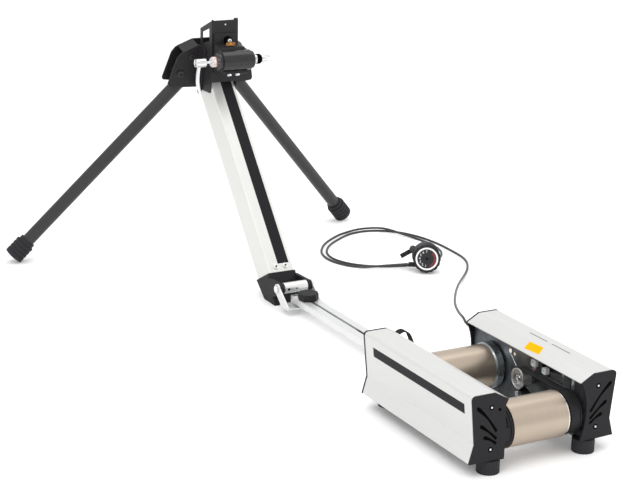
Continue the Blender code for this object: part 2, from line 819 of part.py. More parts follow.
def carrier_stud():
    """The headed stud that the magnet carrier swings on."""
    start = RIGHT_PLATE_X + SHEET / 2
    head = CARRIER_X + CARRIER_THICKNESS + GAP - start
    tip = head + 4 * GAP
    profile = [(0.0, tip), (CARRIER_STUD_HEAD, tip), (CARRIER_STUD_HEAD, head),
               (CARRIER_STUD, head), (CARRIER_STUD, 0.0), (0.0, 0.0)]
    return turned("stud", profile, (start, CARRIER_Y, CARRIER_Z), (1, 0, 0), 20)


def make_frame():
    """Side plates and the crossbeams between them."""
    carry(side_plate("left_side_plate", -1, LEFT_PLATE_X), ROOT, "zinc")
    carry(side_plate("right_side_plate", 1, RIGHT_PLATE_X), ROOT, "zinc")
    x = (LEFT_PLATE_X + GAP, RIGHT_PLATE_X - GAP)
    rear = BEAM_FRONT - FRONT_BEAM_DEPTH
    inside = BEAM_FRONT - BEAM_WALL
    section = [(rear, FRONT_BEAM_BOTTOM), (BEAM_FRONT, FRONT_BEAM_BOTTOM),
               (BEAM_FRONT, FRONT_BEAM_TOP), (rear, FRONT_BEAM_TOP),
               (rear, FRONT_BEAM_TOP - BEAM_WALL), (inside, FRONT_BEAM_TOP - BEAM_WALL),
               (inside, FRONT_BEAM_BOTTOM + BEAM_WALL), (rear, FRONT_BEAM_BOTTOM + BEAM_WALL)]
    beam = plate_yz("front_crossbeam", [section], x)
    foot_room = box("foot_room", (FOOT_X - FOOT_RADIUS - 5 * GAP, RIGHT_PLATE_X),
                    (rear - BEAM_WALL, UNIT_LENGTH), (0.0, BOSS_TOP + 3 * GAP))
    carry(cut(beam, foot_room), ROOT, "aluminium")
    y = (MIDDLE_BEAM_Y - MIDDLE_BEAM_DEPTH / 2, MIDDLE_BEAM_Y + MIDDLE_BEAM_DEPTH / 2)
    low, high = MIDDLE_BEAM_BOTTOM, MIDDLE_BEAM_TOP
    section = [(y[0], low), (y[0] + BEAM_WALL, low), (y[0] + BEAM_WALL, high - BEAM_WALL),
               (y[1] - BEAM_WALL, high - BEAM_WALL), (y[1] - BEAM_WALL, low), (y[1], low),
               (y[1], high), (y[0], high)]
    carry(plate_yz("middle_crossbeam", [section], x), ROOT, "black_metal")


# Rollers
def roller(name, y, right):
    """A hollow roller: a tube with a thick disc and a bearing bore at each end."""
    length = right - ROLLER_LEFT
    bore = BEARING_RADIUS + PLAY
    inside = ROLLER_RADIUS - ROLLER_WALL
    profile = [(ROLLER_RADIUS, length), (ROLLER_RADIUS, 0.0), (inside, 0.0), (inside, END_RIM),
               (bore, END_RIM), (bore, ROLLER_END), (inside, ROLLER_END),
               (inside, length - ROLLER_END), (bore, length - ROLLER_END),
               (bore, length - END_RIM), (inside, length - END_RIM), (inside, length)]
    start = (ROLLER_LEFT, y, ROLLER_Z)
    return turned(name, profile, start, (1, 0, 0), 32, closed=True)


def bearing(name, x, y, shown):
    """A ball bearing, its shield sunk on the face that shows: -1 left or 1 right."""
    inner = AXLE_RADIUS + PLAY
    shield = (inner + BEARING_RADIUS) / 2
    half = (BEARING_RADIUS - inner) / 4
    sunk = 3 * GAP
    width = BEARING_WIDTH
    profile = [(BEARING_RADIUS, 0.0), (BEARING_RADIUS, width), (shield + half, width),
               (shield + half, width - sunk), (shield - half, width - sunk), (shield - half, width),
               (inner, width), (inner, 0.0)]
    start_x = x if shown > 0 else x + width
    return turned(name, profile, (start_x, y, ROLLER_Z), (shown, 0, 0), 18, closed=True)


def axle(name, y, right_bearing_end):
    """A fixed axle through both side plates, with its collars and nuts."""
    left_outer = LEFT_PLATE_X - SHEET - GAP
    right_outer = RIGHT_PLATE_X + SHEET + GAP
    left_bearing = ROLLER_LEFT + END_RIM - GAP
    start = left_outer - AXLE_NUT_LENGTH
    stations = [(AXLE_NUT, start), (AXLE_NUT, left_outer), (AXLE_RADIUS, left_outer),
                (AXLE_RADIUS, LEFT_PLATE_X + GAP), (AXLE_COLLAR, LEFT_PLATE_X + GAP),
                (AXLE_COLLAR, left_bearing), (AXLE_RADIUS, left_bearing),
                (AXLE_RADIUS, right_bearing_end + GAP), (AXLE_COLLAR, right_bearing_end + GAP),
                (AXLE_COLLAR, RIGHT_PLATE_X - GAP), (AXLE_RADIUS, RIGHT_PLATE_X - GAP),
                (AXLE_RADIUS, right_outer), (AXLE_NUT, right_outer),
                (AXLE_NUT, right_outer + AXLE_NUT_LENGTH)]
    profile = [(0.0, stations[0][1])] + stations + [(0.0, stations[-1][1])]
    profile = [(radius, along - start) for radius, along in profile]
    return turned(name, profile[::-1], (start, y, ROLLER_Z), (1, 0, 0), 14)


def flywheel():
    """The heavy ring on the front roller's right end, recessed on both faces."""
    bore = BEARING_RADIUS + PLAY
    web = FLYWHEEL_RADIUS - FLYWHEEL_RIM
    width = FLYWHEEL_WIDTH
    deep = FLYWHEEL_RECESS
    profile = [(FLYWHEEL_RADIUS, width), (FLYWHEEL_RADIUS, 0.0), (web, 0.0), (web, deep),
               (bore, deep), (bore, width - deep), (web, width - deep), (web, width)]
    start = (FRONT_ROLLER_RIGHT + GAP, FRONT_ROLLER_Y, ROLLER_Z)
    return turned("flywheel_ring", profile, start, (1, 0, 0), 36, closed=True)


PULLEY_X = REAR_ROLLER_RIGHT + GAP
SEAT_WIDTH = BELT_WIDTH + 2 * BELT_SIDE_PLAY
BELT_X = PULLEY_X + PULLEY_HUB_WIDTH + PULLEY_FLANGE + BELT_SIDE_PLAY
PULLEY_WIDTH = PULLEY_HUB_WIDTH + 2 * PULLEY_FLANGE + SEAT_WIDTH


def rear_pulley():
    """The flanged belt pulley on the rear roller's right end."""
    bore = BEARING_RADIUS + PLAY
    seat = PULLEY_HUB_WIDTH + PULLEY_FLANGE
    flange = PULLEY_FLANGE_RADIUS
    profile = [(flange, PULLEY_WIDTH), (flange, PULLEY_WIDTH - PULLEY_FLANGE),
               (PULLEY_SEAT_RADIUS, PULLEY_WIDTH - PULLEY_FLANGE), (PULLEY_SEAT_RADIUS, seat),
               (flange, seat), (flange, PULLEY_HUB_WIDTH), (PULLEY_HUB_RADIUS, PULLEY_HUB_WIDTH),
               (PULLEY_HUB_RADIUS, 0.0), (bore, 0.0), (bore, PULLEY_WIDTH)]
    start = (PULLEY_X, REAR_ROLLER_Y, ROLLER_Z)
    return turned("rear_pulley", profile, start, (1, 0, 0), 32, closed=True)


def make_rollers():
    """Both rollers with what turns on them, and their fixed axles."""
    rear = holder("rear_roller_axis", (0, REAR_ROLLER_Y, ROLLER_Z), ROOT)
    front = holder("front_roller_axis", (0, FRONT_ROLLER_Y, ROLLER_Z), ROOT)
    left_x = ROLLER_LEFT + END_RIM
    pulley_end = PULLEY_X + PULLEY_WIDTH
    ring_end = FRONT_ROLLER_RIGHT + GAP + FLYWHEEL_WIDTH - FLYWHEEL_RECESS
    carry(roller("rear_roller", REAR_ROLLER_Y, REAR_ROLLER_RIGHT), rear, "bronze")
    carry(bearing("rear_left_bearing", left_x, REAR_ROLLER_Y, -1), rear, "steel")
    right_x = pulley_end - BEARING_WIDTH
    carry(bearing("rear_right_bearing", right_x, REAR_ROLLER_Y, 1), rear, "steel")
    carry(rear_pulley(), rear, "black_plastic")
    carry(axle("rear_axle", REAR_ROLLER_Y, pulley_end), ROOT, "steel")
    carry(roller("front_roller", FRONT_ROLLER_Y, FRONT_ROLLER_RIGHT), front, "bronze")
    carry(bearing("front_left_bearing", left_x, FRONT_ROLLER_Y, -1), front, "steel")
    right_x = ring_end - BEARING_WIDTH
    carry(bearing("front_right_bearing", right_x, FRONT_ROLLER_Y, 1), front, "steel")
    carry(flywheel(), front, "zinc")
    carry(axle("front_axle", FRONT_ROLLER_Y, ring_end), ROOT, "steel")


# Belt drive and resistance unit
HOUSING_END = RIGHT_PLATE_X + SHEET + HOUSING_OUTER
DISC_X = HOUSING_END + GAP + ROTOR_DISC_STEP
MAGNET_X = DISC_X + ROTOR_DISC + MAGNET_GAP
CARRIER_X = MAGNET_X + MAGNET_THICKNESS + GAP
SHAFT_END = MAGNET_X - GAP       # just short of the magnets' path
ROTOR_PULLEY_X = BELT_X - BELT_SIDE_PLAY - ROTOR_RIM


def belt_loop(rear_radius, rotor_radius):
    """A taut loop round the rear pulley and the rotor pulley, as (y, z) points."""
    rear = Vector((REAR_ROLLER_Y, ROLLER_Z))
    rotor = Vector((ROTOR_Y, ROTOR_Z))
    reach = rotor - rear
    lean = math.atan2(reach.y, reach.x)
    wrap = math.acos((rear_radius - rotor_radius) / reach.length)
    points = arc(rear, rear_radius, lean + wrap, lean + math.tau - wrap, steps=24)
    return points + arc(rotor, rotor_radius, lean - wrap, lean + wrap, steps=14)


def drive_belt():
    """The flat belt that drives the rotor from the rear roller."""
    outer = belt_loop(PULLEY_SEAT_RADIUS + GAP + BELT_THICKNESS,
                      ROTOR_SEAT_RADIUS + GAP + BELT_THICKNESS)
    inner = belt_loop(PULLEY_SEAT_RADIUS + GAP, ROTOR_SEAT_RADIUS + GAP)
    return plate_yz("drive_belt", [outer, inner], (BELT_X, BELT_X + BELT_WIDTH))


def rotor_pulley():
    """The polished pulley that the belt turns, with a recess for its bolt."""
    width = ROTOR_RIM + SEAT_WIDTH
    bore = ROTOR_SHAFT + PLAY
    profile = [(ROTOR_SEAT_RADIUS, width), (ROTOR_SEAT_RADIUS, ROTOR_RIM),
               (ROTOR_RIM_RADIUS, ROTOR_RIM), (ROTOR_RIM_RADIUS, 0.0),
               (ROTOR_RECESS_RADIUS, 0.0), (ROTOR_RECESS_RADIUS, ROTOR_RECESS),
               (bore, ROTOR_RECESS), (bore, width)]
    start = (ROTOR_PULLEY_X, ROTOR_Y, ROTOR_Z)
    return turned("rotor_pulley", profile, start, (1, 0, 0), 28, closed=True)


def rotor_shaft():
    """The shaft, with the hexagonal head that holds the pulley on."""
    head_x = ROTOR_PULLEY_X + ROTOR_RIM
    floor_x = ROTOR_PULLEY_X + ROTOR_RECESS - GAP
    shaft = rod("rotor_shaft", (head_x, ROTOR_Y, ROTOR_Z), (SHAFT_END, ROTOR_Y, ROTOR_Z),
                ROTOR_SHAFT, sides=20)
    head = rod("head", (head_x, ROTOR_Y, ROTOR_Z), (floor_x, ROTOR_Y, ROTOR_Z), ROTOR_HEAD, sides=6)
    return join(shaft, head)


def rotor_housing():
    """The bearing housing in the right side plate."""
    bore = ROTOR_SHAFT + PLAY
    shoulder = HOUSING_INNER
    through = HOUSING_INNER + GAP + SHEET + HOUSING_OUTER
    profile = [(HOUSING_NECK, through), (HOUSING_NECK, shoulder), (HOUSING_RADIUS, shoulder),
               (HOUSING_RADIUS, 4 * GAP), (HOUSING_RADIUS - 4 * GAP, 0.0), (bore, 0.0),
               (bore, through)]
    start = (RIGHT_PLATE_X - GAP - HOUSING_INNER, ROTOR_Y, ROTOR_Z)
    return turned("rotor_bearing", profile, start, (1, 0, 0), 20, closed=True)


def rotor_disc():
    """The aluminium disc that turns between the magnets."""
    bore = ROTOR_SHAFT + PLAY
    width = ROTOR_DISC_STEP + ROTOR_DISC
    profile = [(ROTOR_DISC_RADIUS, width), (ROTOR_DISC_RADIUS, ROTOR_DISC_STEP),
               (ROTOR_DISC_HUB, ROTOR_DISC_STEP), (ROTOR_DISC_HUB, 0.0), (bore, 0.0), (bore, width)]
    start = (HOUSING_END + GAP, ROTOR_Y, ROTOR_Z)
    return turned("rotor_disc", profile, start, (1, 0, 0), 32, closed=True)


def magnet_carrier():
    """The swinging arm: an eye, an arm and a band that follows the disc's rim."""
    rotor = (ROTOR_Y, ROTOR_Z)
    half = MAGNET_BAND / 2
    edge = 2 * GAP
    band_out = arc(rotor, MAGNET_TRACK + half + edge, CARRIER_END, CARRIER_START, steps=10)
    band_in = arc(rotor, MAGNET_TRACK - half - edge, CARRIER_START, CARRIER_END, steps=10)
    eye = arc((CARRIER_Y, CARRIER_Z), CARRIER_EYE, math.radians(278), math.radians(82), steps=14)
    bore = circle((CARRIER_Y, CARRIER_Z), CARRIER_STUD + PLAY, 20)
    x = (CARRIER_X, CARRIER_X + CARRIER_THICKNESS)
    return plate_yz("magnet_carrier", [band_out + band_in + eye, bore], x)


def magnet_segment():
    """The curved magnet on the carrier's inner face."""
    rotor = (ROTOR_Y, ROTOR_Z)
    half = MAGNET_BAND / 2
    outline = arc(rotor, MAGNET_TRACK + half, MAGNET_END, MAGNET_START, steps=9)
    outline += arc(rotor, MAGNET_TRACK - half, MAGNET_START, MAGNET_END, steps=9)
    return plate_yz("magnet_segment", [outline], (MAGNET_X, MAGNET_X + MAGNET_THICKNESS))


def carrier_hub():
    """The round cap and drum at the carrier's pivot."""
    bore = CARRIER_STUD + PLAY
    start_x = RIGHT_PLATE_X + SHEET + GAP
    length = CARRIER_X - GAP - start_x
    profile = [(HUB_DRUM_RADIUS, length), (HUB_DRUM_RADIUS, HUB_CAP), (HUB_CAP_RADIUS, HUB_CAP),
               (HUB_CAP_RADIUS, 0.0), (bore, 0.0), (bore, length)]
    return turned("carrier_hub", profile, (start_x, CARRIER_Y, CARRIER_Z), (1, 0, 0), 24, closed=True)


def make_drive():
    """The belt, the rotor that it turns, and the magnets that swing over the rotor."""
    rotor = holder("rotor_axis", (0, ROTOR_Y, ROTOR_Z), ROOT)
    swing = holder("magnet_axis", (0, CARRIER_Y, CARRIER_Z), ROOT)
    carry(drive_belt(), ROOT, "rubber")
    carry(rotor_housing(), ROOT, "zinc")
    carry(rotor_pulley(), rotor, "steel")
    carry(rotor_shaft(), rotor, "steel")
    carry(rotor_disc(), rotor, "aluminium")
    carry(magnet_carrier(), swing, "zinc")
    carry(magnet_segment(), swing, "black_metal")
    carry(carrier_hub(), swing, "aluminium")


# Rail, strap and clamp knob
RAIL_TOP = RAIL_BOTTOM + RAIL_HEIGHT
RAIL_REAR = BEAM_FRONT + GAP
RAIL_END = RAIL_REAR + RAIL_LENGTH
TONGUE_HALF = RAIL_CAVITY / 2 - GAP
TONGUE_BOTTOM = RAIL_BOTTOM + RAIL_WALL + GAP
TONGUE_TOP = RAIL_TOP - RAIL_WALL - GAP
TONGUE_FRONT = RAIL_END - TONGUE_INSIDE + TONGUE_LENGTH
STRAP_Y = UNIT_LENGTH + STRAP_AHEAD

# Places ahead of the rail
PIN_Y = RAIL_END + PIN_AHEAD
BRACKET_REAR = RAIL_END - BRACKET_LAP
BRACKET_FRONT = RAIL_END + BRACKET_REACH
MAST_Y = PIN_Y + MAST_AHEAD
MAST_TOP_Y = MAST_Y + MAST_LENGTH * math.cos(MAST_ANGLE)
MAST_TOP_Z = MAST_Z + MAST_LENGTH * math.sin(MAST_ANGLE)
CHANNEL_Y = MAST_TOP_Y - CHANNEL_BEHIND
HUB_Y = CHANNEL_Y - HUB_BEHIND
HUB_Z = MAST_TOP_Z + HUB_RISE
LEG_Z = HUB_Z - LEG_DROP
LEG_Y = CHANNEL_Y + LEG_AHEAD


def rail():
    """The extruded rail: a wide hollow box with a narrow slot along its top."""
    half = RAIL_WIDTH / 2
    hollow_half = RAIL_CAVITY / 2
    slot = RAIL_SLOT / 2
    roof = RAIL_TOP - RAIL_WALL
    floor = RAIL_BOTTOM + RAIL_WALL
    right_side = [(half, RAIL_BOTTOM), (half, RAIL_TOP), (slot, RAIL_TOP), (slot, roof),
                  (hollow_half, roof), (hollow_half, floor)]
    section = right_side + outward(-1, right_side)[::-1]
    return plate_xz("rail", [section], (RAIL_REAR, RAIL_END))


def rail_mount():
    """The open cradle that bolts the rail to the front crossbeam."""
    inner = RAIL_WIDTH / 2 + GAP
    outer = inner + RAIL_MOUNT_WALL
    floor = RAIL_BOTTOM - GAP
    half = [(outer, floor - RAIL_MOUNT_WALL), (outer, RAIL_TOP), (inner, RAIL_TOP), (inner, floor)]
    section = half + outward(-1, half)[::-1]
    return plate_xz("rail_mount", [section], (RAIL_REAR, RAIL_REAR + RAIL_MOUNT_LENGTH))


def strap_line():
    """The middle line of the webbing loop, round the rail and up to its apex."""
    away = GAP + STRAP_THICKNESS / 2
    side = RAIL_WIDTH / 2 + away
    low = RAIL_BOTTOM - away
    bend = STRAP_CORNER
    right = arc((side - bend, low + bend), bend, math.radians(-90), 0.0, steps=3)
    left = arc((bend - side, low + bend), bend, math.radians(180), math.radians(270), steps=3)
    rise = STRAP_APEX_Z - STRAP_THICKNESS / 2 - RAIL_TOP
    bends = []
    for anchor, group in ((side, STRAP_RIGHT_BENDS), (STRAP_APEX_X, STRAP_CROWN_BENDS),
                          (-side, STRAP_LEFT_BENDS)):
        bends += [(anchor + across, RAIL_TOP + share * rise) for across, share in group]
    upper = smooth(bends, 2)
    return right + [tuple(point) for point in upper] + left


def offset_loop(points, distance):
    """A closed outline moved sideways, outwards when distance is positive."""
    count = len(points)
    moved = []
    for i, point in enumerate(points):
        along = Vector(points[(i + 1) % count]) - Vector(points[i - 1])
        across = Vector((along.y, -along.x)).normalized()
        moved.append(tuple(Vector(point) + across * distance))
    return moved


def strap():
    """The webbing loop."""
    line = strap_line()
    half = STRAP_THICKNESS / 2
    y = (STRAP_Y - STRAP_WIDTH / 2, STRAP_Y + STRAP_WIDTH / 2)
    return plate_xz("webbing_loop", [offset_loop(line, half), offset_loop(line, -half)], y)


def scalloped(radius, depth, lobes, steps=6):
    """A round grip outline whose edge dips between its lobes."""
    points = []
    for i in range(lobes * steps):
        angle = math.tau * i / (lobes * steps)
        reach = radius - depth * (1 - math.cos(lobes * angle)) / 2
        points.append((reach * math.cos(angle), reach * math.sin(angle)))
    return points


KNOB_Y = RAIL_END - KNOB_FROM_END


def clamp_knob():
    """The knob that presses its bolt on the tongue through the rail's slot."""
    foot_z = RAIL_TOP + GAP
    grip_z = foot_z + KNOB_WASHER
    place = axes((0, KNOB_Y, grip_z + KNOB_HEIGHT / 2), (1, 0, 0), (0, 1, 0))
    grip = plate("clamp_knob", [scalloped(KNOB_RADIUS, KNOB_LOBE_DEPTH, KNOB_LOBES)], KNOB_HEIGHT, place)
    stem = [(0.0, KNOB_HEIGHT / 2), (KNOB_WASHER_RADIUS, KNOB_HEIGHT / 2),
            (KNOB_WASHER_RADIUS, -KNOB_WASHER), (KNOB_BOLT, -KNOB_WASHER),
            (KNOB_BOLT, TONGUE_TOP + GAP - grip_z), (0.0, TONGUE_TOP + GAP - grip_z)]
    return join(grip, turned("stem", stem, (0, KNOB_Y, grip_z), (0, 0, 1), 20))


# Hinge at the rail's end
def hinge_bracket():
    """A sheet bracket under the tongue, with two ears up to the pin."""
    eye = arc((PIN_Y, PIN_Z), EAR_RADIUS, math.radians(-50), math.radians(160), steps=12)
    low = BRACKET_BOTTOM
    ear_line = eye + [(BRACKET_REAR, low + BRACKET_PLATE), (BRACKET_REAR, low),
                      (BRACKET_FRONT - EAR_RADIUS, low)]
    pieces = []
    for side in (-1, 1):
        x = span(side * EAR_OUTER, side * (EAR_OUTER - EAR_THICKNESS))
        bore = circle((PIN_Y, PIN_Z), PIN_RADIUS + PLAY, 20)
        pieces.append(plate_yz("ear", [ear_line, bore], x))
    inner = EAR_OUTER - EAR_THICKNESS / 2
    base = box("hinge_bracket", (-inner, inner), (BRACKET_REAR + 3 * GAP, BRACKET_FRONT),
               (low + GAP, low + BRACKET_PLATE - GAP))
    pad = box("pad", (-TONGUE_HALF, TONGUE_HALF), (RAIL_END + 2 * GAP, BRACKET_FRONT - GAP),
              (low + BRACKET_PLATE / 2, TONGUE_BOTTOM - GAP))
    return join(base, pad, *pieces)


def hinge_pin():
    """The headed pin through both ears, both lugs and the barrel."""
    reach = EAR_OUTER + GAP
    end = reach + PIN_HEAD_LENGTH
    profile = [(0.0, end), (PIN_HEAD, end), (PIN_HEAD, reach), (PIN_RADIUS, reach),
               (PIN_RADIUS, -reach), (PIN_HEAD, -reach), (PIN_HEAD, -end), (0.0, -end)]
    return turned("hinge_pin", profile, (0, PIN_Y, PIN_Z), (1, 0, 0), 24)


def hinge_barrel():
    """The spacer on the pin, with a cross hole that shows from behind."""
    half = BARREL_LENGTH / 2
    barrel = ring("hinge_barrel", PIN_RADIUS + PLAY, BARREL_RADIUS, (-half, PIN_Y, PIN_Z),
                  (1, 0, 0), BARREL_LENGTH, 32)
    hole = rod("hole", (0, PIN_Y - 2 * BARREL_RADIUS, PIN_Z), (0, PIN_Y, PIN_Z), BARREL_HOLE, sides=16)
    return cut(barrel, hole)


# Foot block and mast
LEAN = Vector((0, math.cos(MAST_ANGLE), math.sin(MAST_ANGLE)))
MAST_FORWARD = Vector((0, math.sin(MAST_ANGLE), -math.cos(MAST_ANGLE)))


def mast_section(name, inset, corner, low, high):
    """A square bar along the mast between two distances, its sides inset from the mast's."""
    middle = Vector((0, MAST_Y, MAST_Z)) + LEAN * (low + high) / 2 + MAST_FORWARD * MAST_DEPTH / 2
    outline = rectangle(MAST_WIDTH - 2 * inset, MAST_DEPTH - 2 * inset, corner)
    return plate(name, [outline], high - low, axes(middle, (1, 0, 0), MAST_FORWARD))


# Corners of the foot block, ahead of the pin and up
BLOCK_REAR_TOP = (BLOCK_REAR_TOP_AHEAD, BLOCK_REAR_TOP_Z)
BLOCK_TOP_LENGTH = MAST_DEPTH + BLOCK_TOP_MARGIN
BLOCK_FRONT_TOP = (BLOCK_REAR_TOP_AHEAD + BLOCK_TOP_LENGTH * math.cos(BLOCK_TOP_ANGLE),
                   BLOCK_REAR_TOP_Z - BLOCK_TOP_LENGTH * math.sin(BLOCK_TOP_ANGLE))
BLOCK_FRONT_BOTTOM = (BLOCK_FRONT_TOP[0] - BLOCK_FRONT_BOTTOM_BEHIND, 0.0)
BLOCK_REAR_BOTTOM = (BLOCK_REAR_BOTTOM_AHEAD, 0.0)


def foot_block():
    """The moulded block at the mast's foot: a plug into the mast and two lugs to the pin.

    It is made with the pin at y 0 and moved ahead when it is whole.
    """
    half = BLOCK_WIDTH / 2
    outline = [BLOCK_REAR_TOP, BLOCK_REAR_BOTTOM, BLOCK_FRONT_BOTTOM, BLOCK_FRONT_TOP]
    block = plate_yz("foot_block", [outline], (-half, half))
    plug = mast_section("plug", MAST_WALL + GAP, MAST_INNER_CORNER, -MAST_DEPTH / 3, PLUG_LENGTH)
    plug.data.transform(Matrix.Translation((0, -PIN_Y, 0)))
    rear_slope = (BLOCK_REAR_TOP[0] - BLOCK_REAR_BOTTOM[0]) / BLOCK_REAR_TOP[1]
    high_z = PIN_Z + LUG_RADIUS - 5 * GAP
    low_z = PIN_Z - 3 * LUG_RADIUS
    inside = LUG_RADIUS / 2
    eye = arc((0.0, PIN_Z), LUG_RADIUS, math.radians(85), math.radians(265), steps=12)
    lug_line = eye + [(BLOCK_REAR_BOTTOM[0] + rear_slope * low_z + inside, low_z),
                      (BLOCK_REAR_BOTTOM[0] + rear_slope * high_z + inside, high_z)]
    lugs = []
    for side in (-1, 1):
        x = span(side * LUG_INNER, side * (LUG_INNER + LUG_THICKNESS))
        bore = circle((0.0, PIN_Z), PIN_RADIUS + PLAY, 20)
        lugs.append(plate_yz("lug", [lug_line, bore], x))
    whole = join(block, plug, *lugs)
    whole.data.transform(Matrix.Translation((0, PIN_Y, 0)))
    return whole


def mast():
    """The square aluminium mast, its foot cut to the block's sloping top."""
    tube = mast_section("mast", 0.0, MAST_CORNER, -MAST_DEPTH / 3, MAST_LENGTH)
    inside = mast_section("inside", MAST_WALL, MAST_INNER_CORNER, -MAST_DEPTH,
                          MAST_LENGTH + MAST_WALL)
    rear = Vector((PIN_Y + BLOCK_REAR_TOP[0], BLOCK_REAR_TOP[1]))
    front = Vector((PIN_Y + BLOCK_FRONT_TOP[0], BLOCK_FRONT_TOP[1]))
    slope = (front - rear).normalized()
    rise = Vector((-slope.y, slope.x)) * GAP
    start = rear - slope * MAST_DEPTH + rise
    end = front + slope * MAST_DEPTH + rise
    below = [tuple(start), tuple(end), (end.x, end.y - MAST_DEPTH * 2), (start.x, start.y - MAST_DEPTH * 3)]
    return cut(tube, inside, plate_yz("below", [below], (-MAST_WIDTH, MAST_WIDTH)))


# Head channel
CHANNEL_INNER = MAST_WIDTH / 2 + GAP
CHANNEL_OUTER = CHANNEL_INNER + CHANNEL_SHEET
CHANNEL_FRONT = CHANNEL_Y + CHANNEL_DEPTH
CHANNEL_TOP = HUB_Z + CHANNEL_RISE
CHANNEL_FRONT_TOP = CHANNEL_TOP - CHANNEL_SLOPE
WEB_BOTTOM = HUB_Z - WEB_DROP
FLANGE_BOTTOM = HUB_Z - FLANGE_DROP


def channel_window():
    """The outline of the side windows, inside the channel's sloping top."""
    rear = CHANNEL_Y + WINDOW_REAR_MARGIN
    front = CHANNEL_FRONT - WINDOW_FRONT_MARGIN
    rear_top = CHANNEL_TOP - WINDOW_REAR_DROP
    front_top = CHANNEL_FRONT_TOP - WINDOW_FRONT_DROP
    return [(rear, rear_top), (front, front_top), (front, front_top - WINDOW_FRONT_HEIGHT),
            (rear, rear_top - WINDOW_REAR_HEIGHT)]


def head_channel():
    """The folded channel that holds the mast's top, open to the front, with side windows."""
    inside = CHANNEL_Y + CHANNEL_SHEET
    section = [(-CHANNEL_OUTER, CHANNEL_Y), (CHANNEL_OUTER, CHANNEL_Y), (CHANNEL_OUTER, CHANNEL_FRONT),
               (CHANNEL_INNER, CHANNEL_FRONT), (CHANNEL_INNER, inside), (-CHANNEL_INNER, inside),
               (-CHANNEL_INNER, CHANNEL_FRONT), (-CHANNEL_OUTER, CHANNEL_FRONT)]
    place = axes((0, 0, (FLANGE_BOTTOM + CHANNEL_TOP) / 2), (1, 0, 0), (0, 1, 0))
    obj = plate("head_channel", [section], CHANNEL_TOP - FLANGE_BOTTOM, place)
    wide = (-2 * CHANNEL_OUTER, 2 * CHANNEL_OUTER)
    slope = (CHANNEL_FRONT_TOP - CHANNEL_TOP) / CHANNEL_DEPTH
    edge = CHANNEL_SHEET
    above = [(CHANNEL_Y, CHANNEL_TOP), (CHANNEL_FRONT + edge, CHANNEL_FRONT_TOP + slope * edge),
             (CHANNEL_FRONT + edge, CHANNEL_TOP + edge), (CHANNEL_Y, CHANNEL_TOP + edge)]
    foot_depth = (WEB_BOTTOM - FLANGE_BOTTOM) / 2
    below = [(CHANNEL_Y - edge, WEB_BOTTOM), (inside, WEB_BOTTOM),
             (CHANNEL_Y + foot_depth, FLANGE_BOTTOM - edge), (CHANNEL_Y - edge, FLANGE_BOTTOM - edge)]
    tools = [plate_yz("tool", [outline], wide) for outline in (above, below, channel_window())]
    return cut(obj, *tools)


# Hub, cradle, skewer
CRADLE_TOP = HUB_Z + CRADLE_RISE
CRADLE_BOTTOM = HUB_Z - CRADLE_DROP


def hub_cradle():
    """The clamp on the channel's rear face that holds the hub barrel from the front."""
    back = CHANNEL_Y - GAP
    front = back - CRADLE_PLATE
    centre = (HUB_Y, HUB_Z)
    seat = arc(centre, HUB_RADIUS + GAP, JAW_TOP, JAW_BOTTOM, steps=20)
    under = arc(centre, JAW_RADIUS, JAW_BOTTOM, math.radians(-50), steps=6)
    top = arc(centre, JAW_RADIUS, math.radians(50), JAW_TOP, steps=3)
    outline = [(back, CRADLE_BOTTOM), (back, CRADLE_TOP), (front, CRADLE_TOP),
               (front, HUB_Z + JAW_RADIUS)] + top + seat + under
    outline += [(front, CRADLE_BOTTOM + CRADLE_PLATE), (front, CRADLE_BOTTOM)]
    return plate_yz("hub_cradle", [outline], (-CRADLE_WIDTH / 2, CRADLE_WIDTH / 2))


def hub_barrel():
    """The black hub shell between the fork ends."""
    half = HUB_LENGTH / 2
    shoulder = half - HUB_END
    bore = HUB_AXLE_RADIUS + PLAY
    profile = [(HUB_END_RADIUS, half), (HUB_END_RADIUS, shoulder), (HUB_RADIUS, shoulder),
               (HUB_RADIUS, -shoulder), (HUB_END_RADIUS, -shoulder), (HUB_END_RADIUS, -half),
               (bore, -half), (bore, half)]
    return turned("hub_barrel", profile, (0, HUB_Y, HUB_Z), (1, 0, 0), 28, closed=True)


def hub_axle():
    """The hollow axle, whose end fittings seat the fork ends."""
    half = DROPOUT_SPACING / 2
    shoulder = HUB_LENGTH / 2 + GAP
    bore = SKEWER_RADIUS + PLAY
    chamfer = 4 * GAP
    profile = [(AXLE_END_RADIUS - chamfer, half), (AXLE_END_RADIUS, half - chamfer),
               (AXLE_END_RADIUS, shoulder), (HUB_AXLE_RADIUS, shoulder),
               (HUB_AXLE_RADIUS, -shoulder), (AXLE_END_RADIUS, -shoulder),
               (AXLE_END_RADIUS, chamfer - half), (AXLE_END_RADIUS - chamfer, -half),
               (bore, -half), (bore, half)]
    return turned("hub_axle", profile, (0, HUB_Y, HUB_Z), (1, 0, 0), 20, closed=True)


CAM_OUTER_X = CAM_INNER_X - CAM_LENGTH


